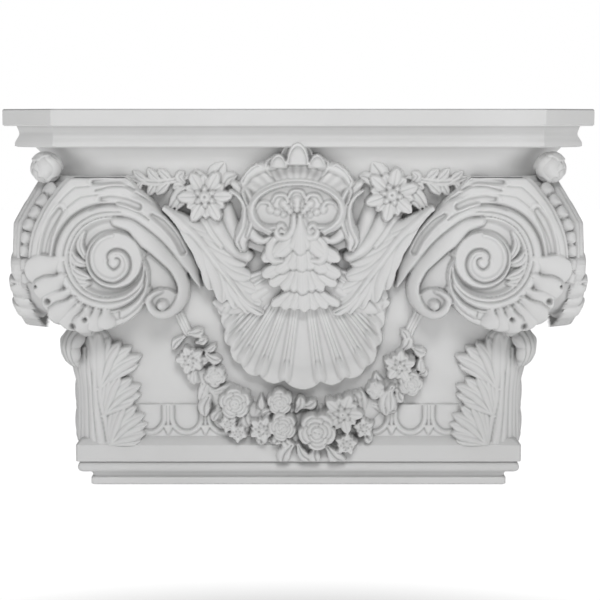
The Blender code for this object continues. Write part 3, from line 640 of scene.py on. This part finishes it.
# Root, middle, tip, half width and rise of the folds under a scroll, and their pits
FRILL_LOBES = (
    ((236, 238), (252, 232), (271, 224), 12, 7), ((234, 222), (247, 213), (262, 206), 10, 10),
    ((228, 208), (240, 200), (254, 193), 8, 8), ((223, 199), (234, 189), (247, 180), 9, 11),
    ((217, 193), (224, 183), (234, 172), 9, 8), ((209, 190), (212, 180), (218, 167), 8.5, 11),
    ((200, 189), (201, 180), (204, 168), 7.5, 8), ((191, 189), (191, 181), (191, 170), 7.5, 7),
)
FRILL_PITS = ((249, 199, 2.8), (224, 174, 3.0), (212, 181, 2.2), (261, 214, 1.6))
# The husks on the roll: where the first begins, the degrees for each, and how many
HUSKS_FROM = 252
HUSK_DEGREES = 9.5
HUSKS = 8


def turn_of(u, z):
    """Radius and degrees round a scroll's eye, from the top and turning inward."""
    a, b = u - SCROLL_X, z - SCROLL_Z
    return np.hypot(a, b), np.degrees(np.arctan2(-a, b)) % 360.0


def rim_radius(degrees):
    radius = table(RIM, degrees)
    up = np.cos(np.radians(degrees))
    return np.where(up > 0.05, np.minimum(radius, (FRIEZE_FOOT - SCROLL_Z) / np.maximum(up, 0.05)), radius)


def scroll_form(u, z):
    """Depth of a scroll's carved face: eye, hollow, winding band, outer flutes and frill."""
    radius, degrees = turn_of(u, z)
    groove = table(EYE_GROOVE, degrees)
    degrees = np.where(degrees < SECOND_TURN, degrees + 360, degrees)
    hollow = table(HOLLOW_EDGE, degrees)
    band = table(BAND_EDGE, degrees)
    rim = rim_radius(degrees)
    # The rings fade where the band runs on into the tongue
    fresh = 1 - smooth((degrees - 368) / 32)
    start = table(SPIRAL_START, degrees % 360)
    eye = 1.6 * cap(radius / 9) - 4.0 * ring(radius, start, 1.2) * (radius > 2.5)
    disc = 3.5 * cap(radius / 31) - 4.6 * ring(radius, groove, 1.3) + eye
    disc = disc + 2.0 * ring(radius, groove - 3.2, 1.5)
    t = np.clip((radius - hollow) / np.maximum(band - hollow, 1), 0, 1)
    strip = 2.6 * fresh * np.sin(np.pi * t) ** 0.7 - 2.8 * ring(radius, hollow + 4.5, 1.1) * (degrees < 370)
    strip = strip - 4.0 * fresh * ring(radius, band, 1.5)
    deep = smooth((degrees - 96) / 60) * (1 - 0.7 * smooth((degrees - 320) / 90))
    across = np.clip((radius - EYE_RADIUS) / np.maximum(hollow - EYE_RADIUS, 1), 0, 1)
    sunk = -9.5 * deep * smooth((radius - EYE_RADIUS) / 2.5) * (1 - smooth((across - 0.55) / 0.45))
    sunk = sunk - 3.5 * fresh * ring(radius, hollow, 1.2) - 4.0 * ring(radius, EYE_RADIUS + 0.6, 1.3)
    past = (radius - band) / np.maximum(rim - band, 1)
    flute = 2.8 * fresh * np.sin(np.pi * np.clip(past, 0, 1)) ** 0.5 - 5.0 * fresh * ring(radius, band, 1.5)
    lines = ring(past, 0.36, 0.035) + ring(past, 0.68, 0.03)
    flute = flute - 1.3 * fresh * lines * smooth((degrees - 262) / 20)
    flute = flute - 3.0 * fresh * smooth((radius - rim + 3) / 3) ** 2
    winding = np.where(radius < hollow, sunk, np.where(radius < band, strip, flute))
    h = np.where(radius < EYE_RADIUS, disc, winding)
    share = (degrees - FRILL[0]) / (FRILL[1] - FRILL[0])
    h = np.where((share > 0) & (share < 1) & (radius > band + 2), -2.5, h)
    return np.where(radius < rim, SCROLL_FACE_DEPTH + h, NONE)


def front_form(u, z):
    """The front face falls away inward, down the ramp to the bell, and sinks under the tongue."""
    h = scroll_form(u, z)
    radius, degrees = turn_of(u, z)
    under = 12 * smooth((degrees - 12) / 34) * smooth((radius - EYE_RADIUS - 0.6) / 4)
    under = under * (degrees < SECOND_TURN)
    return np.where(h > NONE, h - FACE_FALL * smooth((FACE_FALL_FROM - u) / 60) - under, NONE)


def side_lean(z):
    """How far a scroll's side face leans in, above its eye and below its frill."""
    return SIDE_LEAN * np.maximum(z - SIDE_LEAN_FROM, 0) + SIDE_TUCK * np.maximum(SIDE_TUCK_FROM - z, 0)


def side_plane(u, z):
    return SCROLL_FACE_DEPTH - side_lean(z)


def side_form(u, z):
    """The side face repeats the front's carving on its leaning plane."""
    return scroll_form(u, z) - side_lean(z)


def trough(relief, knots, half, deep):
    """A round-ended trough with a crisp edge and a faint swell beside it."""
    line = curve_points(knots)

    def form(x, z):
        share, off = along(x, z, line)
        width = half * (0.7 + 0.3 * smooth(share * 4))
        away = np.abs(off)
        swell = 0.8 * ring(away, 1.45 * half, 1.3)
        return deep * np.exp(-((away / width) ** 8)) * (1 - 0.25 * (away / half) ** 2) - swell

    relief.cut(box_of(line, 2.4 * half), form)


def dress_scroll(relief, side, face):
    """The troughs, the feathered leaves in the hollow and the folded frill, on either face."""
    for knots, half in SLOTS:
        trough(relief, mirrored(knots, side), half, 5.0)
    for *knots, half in FEATHERS:
        relief.petal(mirrored(knots, side), half, 7, lambda x, z: face(x, z) - 8, crease=0.3)
    for *knots, half, rise in FRILL_LOBES:
        relief.petal(mirrored(knots, side), 1.25 * half, rise, lambda x, z: face(x, z) - 3,
                     crease=0.0, edge=0.35, tilt=0.4 * side, point=0.5, blunt=0.7)
    for cx, cz, radius in FRILL_PITS:
        relief.pit(side * cx, cz, radius, 8)


def over_ramp(lift):
    return lambda x, z: 60 + 50 * smooth((np.abs(x) - RAMP_START) / (RAMP_END - RAMP_START)) + lift


def carve_scroll(relief, side):
    low, high = sorted((side * 95, side * 280))
    relief.stamp((low, high, SCROLL_LOW, SCROLL_HIGH), lambda x, z: front_form(side * x, z))
    for knots, widths, rise, lift, power in SCROLL_BARS:
        relief.bar(mirrored(knots, side), widths, rise, over_ramp(lift), power)
    trough(relief, mirrored(TONGUE_SLOT, side), 3.0, 5.0)
    for knots in SCROLL_LINES:
        line = curve_points(mirrored(knots, side))
        relief.cut(box_of(line, 4), lambda x, z: 2.6 * ring(along(x, z, line)[1], 0.0, 1.2))
    dress_scroll(relief, side, lambda x, z: SCROLL_FACE_DEPTH)

    def small_eye(x, z):
        away = np.hypot(side * x - STEM_EYE[0], z - STEM_EYE[1])
        h = np.where(away < 16, over_ramp(-4)(x, z), NONE)
        return np.maximum(h, np.where(away < 5.2, over_ramp(2)(x, z) + 6 * dome(away / 5.2), NONE))

    low, high = sorted((side * 118, side * 156))
    relief.stamp((low, high, 176, 213), small_eye)
    for shift in (-3.5, 0, 3.5):
        relief.bar(mirrored(((124 + shift, 184), (112 + shift, 158)), side), (2.2, 2.2), 4, over_bell(3))


def make_scrolls():
    pieces = []

    def front_ground(x, z):
        return np.where(np.abs(x) < 176, bell_depth(z), SCROLL_FACE_DEPTH - 14)

    for side, name in SIDES:
        low, high = sorted((side * 76, side * 276))
        front = Relief(low, high, SCROLL_LOW, SCROLL_HIGH + 1)
        carve_scroll(front, side)
        pieces.append(front.piece(name + "_scroll_front", front_ground, place))
        flank = Relief(CORNER, 276, SCROLL_LOW, SCROLL_HIGH + 1)
        flank.stamp((CORNER, 276, SCROLL_LOW, SCROLL_HIGH), side_form)
        dress_scroll(flank, 1, side_plane)

        def flank_place(u, depth, z):
            return place(side * (depth + CORNER), u - CORNER, z)

        pieces.append(flank.piece(name + "_scroll_side", lambda x, z: side_plane(x, z) - 14, flank_place))
        pieces.append(make_roll(side, name))
        pieces.append(make_back(flank, side, name))
    return pieces


def make_back(flank, side, name):
    """The flat back of a scroll where it is cut at the wall, from the bell to the carved side."""
    edge = flank.depth[:, 0]
    rows = np.flatnonzero(edge > 0)
    z = flank.zs[rows]
    reach = np.stack([bell_depth(z) - 0.1, edge[rows]]) + CORNER
    verts = place_array(side * reach, 0 * reach, z + 0 * reach)
    index = np.arange(reach.size).reshape(reach.shape)
    return mesh_object(name + "_scroll_back", verts, sheet_faces(index).reshape(-1, 4))


def make_roll(side, name):
    """The roll between a scroll's two faces: rails, and husks strung down its outer edge."""
    turns, across = ((360, 48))
    degrees, share = np.meshgrid(np.linspace(0, 360, turns + 1), np.linspace(0, 1, across + 1), indexing="ij")
    rim = rim_radius(np.where(degrees < SECOND_TURN, degrees + 360, degrees))
    a, b = -np.sin(np.radians(degrees)), np.cos(np.radians(degrees))
    sunk = -4.5 * (smooth((share - 0.16) / 0.06) - smooth((share - 0.78) / 0.06))
    rail = 1.2 * (ring(share, 0.09, 0.06) + ring(share, 0.91, 0.06))
    step = (degrees - HUSKS_FROM) / HUSK_DEGREES
    husk = 1 - np.abs((step % 1.0) * 2 - 1) ** 2
    width = 0.26 * np.sqrt(np.clip(husk, 0.02, 1))
    strung = (step > 0) * (step < HUSKS) * np.clip(husk * 2, 0, 1) ** 0.5
    lift = sunk + rail + 8.5 * cap((share - 0.5) / width) * strung - 1.5
    u = SCROLL_X + rim * a
    z = SCROLL_Z + rim * b + lift * b * (b < 0.9)
    face = SCROLL_FACE_DEPTH - 1
    x = u * (1 - share) + (face + CORNER - side_lean(z)) * share + lift * a * 0.7
    depth = face * (1 - share) + (u - CORNER) * share + lift * a * 0.7
    # Nothing behind the wall, nor where the scroll runs on into the tongue
    keep = (depth > 0) & ((degrees < 14) | (degrees > 90))
    verts = place_array(side * x, np.maximum(depth, 0), z)
    index = np.arange(degrees.size).reshape(degrees.shape)
    return mesh_object(name + "_scroll_roll", verts, sheet_faces(index)[touched(keep)])


# Body: the bell with its abacus and base mouldings
# How far a corner is rounded: in millimetres over the frieze, and as a share of the chamfer below
CRISP = 0.6
SOFT = 0.28


def steps(count):
    return [k / count for k in range(1, count + 1)]


def body_profile():
    """(depth, height, chamfer) of the mouldings, from the underside up."""
    rows = [(41.5, 0.0, 2.0), (43.0, 1.2, 2.0), (43.0, 7.4, 2.0), (42.2, 8.4, 2.0), (41.0, 8.6, 2.0)]
    rows += [(41.0 + 4.5 * t**3, 8.6 + 6.6 * t, 2.0) for t in steps(6)]
    for t in [0.0] + steps(10):
        turn = math.pi * (t - 0.5)
        rows.append((50.5 + 5.0 * math.cos(turn), 20.9 + 5.5 * math.sin(turn), 2.0))
    rows += [(55.0, 26.6, 2.0), (56.2, 26.8, 2.0), (57.0, 27.6, 2.0), (57.0, 44.0, 2.0), (56.2, 45.0, 2.0),
             (53.0, 49.0, 3.0), (49.0, 52.5, BELL_CHAMFER)]
    for t in [0.0] + steps(24):
        z = BELL_FOOT + (FRIEZE_FOOT - BELL_FOOT) * t
        rows.append((float(bell_depth(z)), z, BELL_CHAMFER + (ABACUS_CHAMFER - BELL_CHAMFER) * t * t))
    rows += [(FRIEZE_FOOT_DEPTH + 12.0 * t**2.2, FRIEZE_FOOT + 28.5 * t, ABACUS_CHAMFER) for t in steps(8)]
    rows.append((99.0, MOULDING_UNDERSIDE, ABACUS_CHAMFER))
    # From here to the abacus the corners stand over one another, so the chamfer follows the depth
    cyma = [(111.6, MOULDING_UNDERSIDE), (113.0, 352.2)]
    cyma += [(113.0 - 4.8 * smooth(t), 354.0 + 10.5 * t) for t in steps(8)]
    cyma += [(108.8, 367.0), (110.0, 370.0), (111.0, 372.0)]
    rows += [(depth, z, depth - ABACUS_DEPTH + ABACUS_CHAMFER) for depth, z in cyma]
    abacus = [(123.6, 372.0), (ABACUS_DEPTH, 373.4), (ABACUS_DEPTH, 387.8), (123.8, 389.0)]
    rows += [(depth, z, ABACUS_CHAMFER) for depth, z in abacus]
    return rows


def round_corner(before, corner, after, reach):
    """The corner as a short arc that keeps inside it."""
    a, p, b = np.array(before), np.array(corner), np.array(after)
    start = p + (a - p) * reach / np.hypot(*(a - p))
    end = p + (b - p) * reach / np.hypot(*(b - p))
    return [tuple((1 - t) ** 2 * start + 2 * t * (1 - t) * p + t * t * end) for t in np.linspace(0, 1, 5)]


def make_body():
    bm = bmesh.new()
    rings = []
    for depth, z, chamfer in body_profile():
        half = depth + CORNER
        reach = CRISP if z > MOULDING_UNDERSIDE else SOFT * chamfer
        back, near, front = (-half, 0.0), (-half, depth - chamfer), (-half + chamfer, depth)
        plan = [back] + round_corner(back, near, front, reach)
        plan += round_corner(near, front, (0.0, depth), reach)
        plan += [(-x, d) for x, d in reversed(plan)]
        rings.append([bm.verts.new(place(x, d, z)) for x, d in plan])
    for low, high in zip(rings, rings[1:]):
        for i in range(len(low)):
            j = (i + 1) % len(low)
            bm.faces.new((low[i], low[j], high[j], high[i]))
    bm.faces.new(rings[0])
    bm.faces.new(rings[-1])
    bmesh.ops.recalc_face_normals(bm, faces=bm.faces)
    mesh = bpy.data.meshes.new("body_mouldings")
    bm.to_mesh(mesh)
    bm.free()
    mesh.shade_smooth()
    mesh.set_sharp_from_angle(angle=math.radians(32))
    return link("body_mouldings", mesh)


# Corner leaves and buds
def corner_path(w, depth):
    """Plan place and outward normal at w along the bell, from the corner: front positive, side negative."""
    half = BELL_CHAMFER / math.sqrt(2)
    edge = depth + CORNER
    middle = (edge - BELL_CHAMFER / 2, depth - BELL_CHAMFER / 2)
    t = np.clip(w / half, -1, 1)
    x = middle[0] - t * BELL_CHAMFER / 2 - np.maximum(w - half, 0)
    d = middle[1] + t * BELL_CHAMFER / 2 - np.maximum(-w - half, 0)
    turn = np.radians(45 * (1 + np.clip(w / (half + 6), -1, 1)))
    return x, d, np.cos(turn), np.sin(turn)


# The corner leaf's tiers: root, then tip and half width of each lobe, as distance from the corner and height
ACANTHUS_TIERS = (
    ((12, 104), ((6, 160, 7.5), (15, 162, 7.5), (25, 157, 7.5), (36, 152, 7.5), (47, 147, 7.5),
     (57, 138, 7.5), (53, 128, 7))),
    ((16, 76), ((22, 116, 6.5), (34, 116, 7), (46, 114, 7), (55, 107, 7), (55, 97, 6.5), (48, 90, 6))),
    ((22, 46), ((27, 82, 6.5), (38, 86, 7), (50, 85, 7), (59, 77, 7), (62, 67, 6.5), (60, 57, 6.5),
     (55, 49, 6))),
)
ACANTHUS_RIBS = (
    ((0, 44), (0, 91), (1, 120), (3, 145)), ((6, 47), (5, 91), (5, 120), (7, 143)),
    ((14, 47), (10, 86), (10, 116), (13, 141)), ((22, 47), (18, 70), (14, 96), (16, 120)),
    ((30, 47), (25, 65), (23, 83), (19, 93)),
)
# The curl of the leaf's tip: distance out from the corner and height, and its half widths
TIP_CURL = ((-12, 132), (-4, 150), (7.5, 161), (14, 156), (17, 146), (15, 134), (11, 126))
TIP_WIDTHS = (12, 15, 16, 15, 13, 9, 2)


def make_acanthus(side, name):
    relief = Relief(-52, 66, 44, 172)

    def raised(lift):
        return lambda w, z: lift + 5 * smooth((z - 90) / 70)

    for flip in (1, -0.78):
        for tier, (root, lobes) in enumerate(ACANTHUS_TIERS):
            for turn, (tip_w, tip_z, width) in enumerate(lobes):
                middle = (0.55 * root[0] + 0.45 * tip_w, 0.35 * root[1] + 0.65 * tip_z)
                relief.petal(mirrored((root, middle, (tip_w, tip_z)), flip), width, 8 + 1.5 * (turn % 2),
                             raised(1.5 + tier), crease=0.1, edge=0.3, tilt=-0.3 if flip > 0 else 0.3,
                             point=0.6, blunt=0.6)
        relief.bar(mirrored(((10, 45), (12, 90), (12, 152)), flip), (14, 16, 14), 5, raised(1.5))
        for knots in ACANTHUS_RIBS:
            relief.bar(mirrored(knots, flip), (3.2, 2.8, 2.4, 1.8), 3, raised(6))

    def wrap(w, height, z):
        x, d, nx, nd = corner_path(w, bell_depth(z))
        return place(side * (x + height * nx), np.maximum(d + height * nd, 0.2), z)

    return relief.piece(name + "_corner_acanthus", lambda w, z: 0 * w, wrap)


def make_tip(side, name):
    """The acanthus tip that curls out under the scroll."""
    rows, around = ((72, 56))
    path = curve_points(TIP_CURL, rows)
    halves = np.interp(np.linspace(0, 1, rows), np.linspace(0, 1, len(TIP_WIDTHS)), TIP_WIDTHS)
    corner = float(bell_depth(160.0)) - BELL_CHAMFER / 2
    verts = []
    for k in range(rows):
        t = k / (rows - 1)
        a, b = path[max(k - 1, 0)], path[min(k + 1, rows - 1)]
        run, climb = (b - a) / np.hypot(*(b - a))
        lobe = 1 - 0.22 * (1 - abs(math.sin(4.5 * math.pi * t)))
        thick = 6.5 * math.sin(math.pi * min(0.12 + 0.86 * t, 1)) ** 0.6 + 0.6
        for step in range(around):
            turn = 2 * math.pi * step / around
            across = halves[k] * lobe * math.cos(turn)
            ribs = 1 + 0.16 * math.cos(5 * math.pi * across / halves[k])
            away = thick * ribs * math.sin(turn)
            reach = path[k][0] - away * climb
            z = path[k][1] + away * run
            across /= math.sqrt(2)
            verts.append(place(side * (corner + CORNER + reach - across), corner + reach + across, z))
    return tube(name + "_acanthus_tip", np.array(verts), rows, around)


BUD_RADIUS = 12.0
BUD_DEPTH = 80
BUD_Z = 329
# Lean from upright, turn and half angle of the petals wrapped round a bud
BUD_PETALS = (
    (165, 0, 60), (118, 70, 62), (112, -70, 60), (92, 175, 64), (62, 110, 56), (70, -20, 62), (38, -110, 52),
    (22, 60, 40),
)


def make_bud(side, name):
    """The bud over each scroll, its petals wrapped over one another."""
    rows, around = ((80, 128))
    turns = np.linspace(0, 2 * math.pi, around, endpoint=False)
    v, u = np.meshgrid(np.linspace(0, math.pi, rows), turns, indexing="ij")
    x, d, z = np.sin(v) * np.cos(u), np.sin(v) * np.sin(u), np.cos(v)
    radius = np.full(x.shape, BUD_RADIUS)
    for k, (lean, turn, spread) in enumerate(BUD_PETALS):
        a, b = math.radians(lean), math.radians(turn)
        facing = x * math.sin(b) * math.sin(a) + d * math.cos(b) * math.sin(a) + z * math.cos(a)
        away = np.arccos(np.clip(facing, -1, 1))
        t = np.degrees(away) / (spread * (1 + 0.1 * np.cos(6 * np.arctan2(z, x) + k)))
        leaf = BUD_RADIUS + 0.6 * k + 1.6 * cap(t) + 0.5 * ring(t, 0.88, 0.1)
        radius = np.where(t < 1, np.maximum(radius, leaf), radius)
    radius = radius - 0.5 + 0.9 * np.abs(np.sin(3.5 * u + 1.2 * np.sin(3 * v))) * np.sin(v)
    out = BUD_DEPTH + CORNER + radius * x
    verts = place_array(side * out, BUD_DEPTH + radius * d, BUD_Z + 1.04 * radius * z)
    return tube(name + "_bud", verts, rows, around)


# Material
def fill(node, values):
    for name, value in values.items():
        node.inputs[name].default_value = value


def make_primer():
    """Matt white primer: faint mottling, a fine tooth, a slightly smoother bloom in places, and painted shade
    in its creases and hollows.
    """
    material = bpy.data.materials.new("white_primer")
    material.use_nodes = True
    nodes, links = material.node_tree.nodes, material.node_tree.links
    shader = nodes["Principled BSDF"]
    fill(shader, {"Specular IOR Level": 0.35})
    coords = nodes.new("ShaderNodeTexCoord")

    def noise(scale, detail):
        node = nodes.new("ShaderNodeTexNoise")
        fill(node, {"Scale": scale, "Detail": detail})
        links.new(coords.outputs["Object"], node.inputs["Vector"])
        return node.outputs["Fac"]

    def ramp(source, *stops):
        node = nodes.new("ShaderNodeValToRGB")
        for element, (position, color) in zip(node.color_ramp.elements, stops):
            element.position = position
            element.color = (*color, 1)
        links.new(source, node.inputs["Fac"])
        return node.outputs["Color"]

    def spread(source, before, after):
        node = nodes.new("ShaderNodeMapRange")
        fill(node, {"From Min": before[0], "From Max": before[1], "To Min": after[0], "To Max": after[1]})
        links.new(source, node.inputs["Value"])
        return node.outputs["Result"]

    def multiply(a, b):
        node = nodes.new("ShaderNodeMix")
        node.data_type = "RGBA"
        node.blend_type = "MULTIPLY"
        fill(node, {"Factor": 1.0})
        links.new(a, node.inputs["A"])
        links.new(b, node.inputs["B"])
        return node.outputs["Result"]

    def bump(source, strength, distance):
        node = nodes.new("ShaderNodeBump")
        fill(node, {"Strength": strength, "Distance": distance})
        links.new(source, node.inputs["Height"])
        return node

    tint = ramp(noise(9.0, 4.0), (0.3, (0.76, 0.76, 0.755)), (0.75, (0.82, 0.82, 0.82)))
    # Painted shade: the colour darkens in creases, from the pointiness, and in hollows, from ambient
    # occlusion; raised edges keep the plain tint
    shape = nodes.new("ShaderNodeNewGeometry")
    painted_crevice_shade = ramp(shape.outputs["Pointiness"], (0.43, (0.58, 0.58, 0.58)), (0.50, (1, 1, 1)))
    # Painted shade: ambient occlusion darkens the colour in hollows
    hollow = nodes.new("ShaderNodeAmbientOcclusion")
    hollow.samples = 6
    fill(hollow, {"Distance": 0.014})
    deep = spread(hollow.outputs["AO"], (0.2, 0.9), (0.8, 1.0))
    # The tint is multiplied by the painted crease shade and the painted hollow shade
    links.new(multiply(multiply(tint, painted_crevice_shade), deep), shader.inputs["Base Color"])
    links.new(spread(noise(35.0, 3.0), (0.0, 1.0), (0.5, 0.68)), shader.inputs["Roughness"])
    coarse = bump(noise(140.0, 2.0), 0.12, 0.0006)
    fine = bump(noise(1400.0, 2.0), 0.10, 0.0002)
    links.new(coarse.outputs["Normal"], fine.inputs["Normal"])
    links.new(fine.outputs["Normal"], shader.inputs["Normal"])
    return material


# Camera, lights and floor
CAMERA_DISTANCE = 1.9
CAMERA_HEIGHT = 0.190
CAMERA_TILT = 5.74
LENS = 108.6
LIGHT_TARGET = (0, -0.05, 0)
FLOOR_DROP = 0.42
FLOOR_RADIUS = 14.0
# The floor glows white from FLOOR_WHITE metres out, and is calm under the object
FLOOR_CALM = 0.7
FLOOR_WHITE = 1.3


def make_camera():
    data = bpy.data.cameras.new("camera")
    data.lens = LENS
    data.sensor_width = 36.0
    data.clip_start = 0.05
    camera = link("camera", data)
    camera.location = (0.0016, -CAMERA_DISTANCE, CAMERA_HEIGHT)
    camera.rotation_euler = (math.radians(90 - CAMERA_TILT), 0, 0)
    bpy.context.scene.camera = camera


def make_light(name, location, size, power):
    data = bpy.data.lights.new(name, "AREA")
    data.shape = "DISK"
    data.size = size
    data.energy = power
    lamp = link(name, data)
    lamp.location = location
    lamp.rotation_euler = (Vector(LIGHT_TARGET) - Vector(location)).to_track_quat("-Z", "Y").to_euler()


def make_studio():
    make_light("key", (0.18, -2.4, 1.35), size=0.8, power=21)
    make_light("fill", (-0.5, -2.8, 0.3), size=1.2, power=4)
    world = bpy.data.worlds.new("studio")
    bpy.context.scene.world = world
    world.use_nodes = True
    nodes, links = world.node_tree.nodes, world.node_tree.links
    ambient = nodes["Background"]
    fill(ambient, {"Color": (1, 1, 1, 1), "Strength": 0.10})
    seen = nodes.new("ShaderNodeBackground")
    fill(seen, {"Color": (1, 1, 1, 1), "Strength": 1.0})
    rays = nodes.new("ShaderNodeLightPath")
    mix = nodes.new("ShaderNodeMixShader")
    links.new(rays.outputs["Is Camera Ray"], mix.inputs["Fac"])
    links.new(ambient.outputs["Background"], mix.inputs[1])
    links.new(seen.outputs["Background"], mix.inputs[2])
    links.new(mix.outputs["Shader"], nodes["World Output"].inputs["Surface"])
    bpy.context.scene.view_settings.view_transform = "Standard"


def make_floor():
    bm = bmesh.new()
    bmesh.ops.create_circle(bm, cap_ends=True, segments=96, radius=FLOOR_RADIUS)
    mesh = bpy.data.meshes.new("floor")
    bm.to_mesh(mesh)
    bm.free()
    floor = link("floor", mesh)
    floor.location = (0, 0, CAD_BOX[0][2] - FLOOR_DROP)
    material = bpy.data.materials.new("floor_white")
    material.use_nodes = True
    nodes, links = material.node_tree.nodes, material.node_tree.links
    shader = nodes["Principled BSDF"]
    fill(shader, {"Base Color": (0.8, 0.8, 0.8, 1), "Roughness": 0.9, "Emission Color": (1, 1, 1, 1)})
    coords = nodes.new("ShaderNodeTexCoord")
    away = nodes.new("ShaderNodeVectorMath")
    away.operation = "LENGTH"
    links.new(coords.outputs["Object"], away.inputs[0])
    glow = nodes.new("ShaderNodeMapRange")
    glow.interpolation_type = "SMOOTHSTEP"
    fill(glow, {"From Min": FLOOR_CALM, "From Max": FLOOR_WHITE, "To Min": 0.12, "To Max": 1.0})
    links.new(away.outputs["Value"], glow.inputs["Value"])
    links.new(glow.outputs["Result"], shader.inputs["Emission Strength"])
    mesh.materials.append(material)


def main():
    make_camera()
    make_studio()
    make_floor()
    body = make_body()
    pieces = [body] + make_centre() + make_scrolls()
    for side, name in SIDES:
        pieces += [make_acanthus(side, name), make_tip(side, name), make_bud(side, name)]
    primer = make_primer()
    for piece in pieces:
        piece.data.materials.append(primer)
        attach(piece, "root")
    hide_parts(NODE)


main()
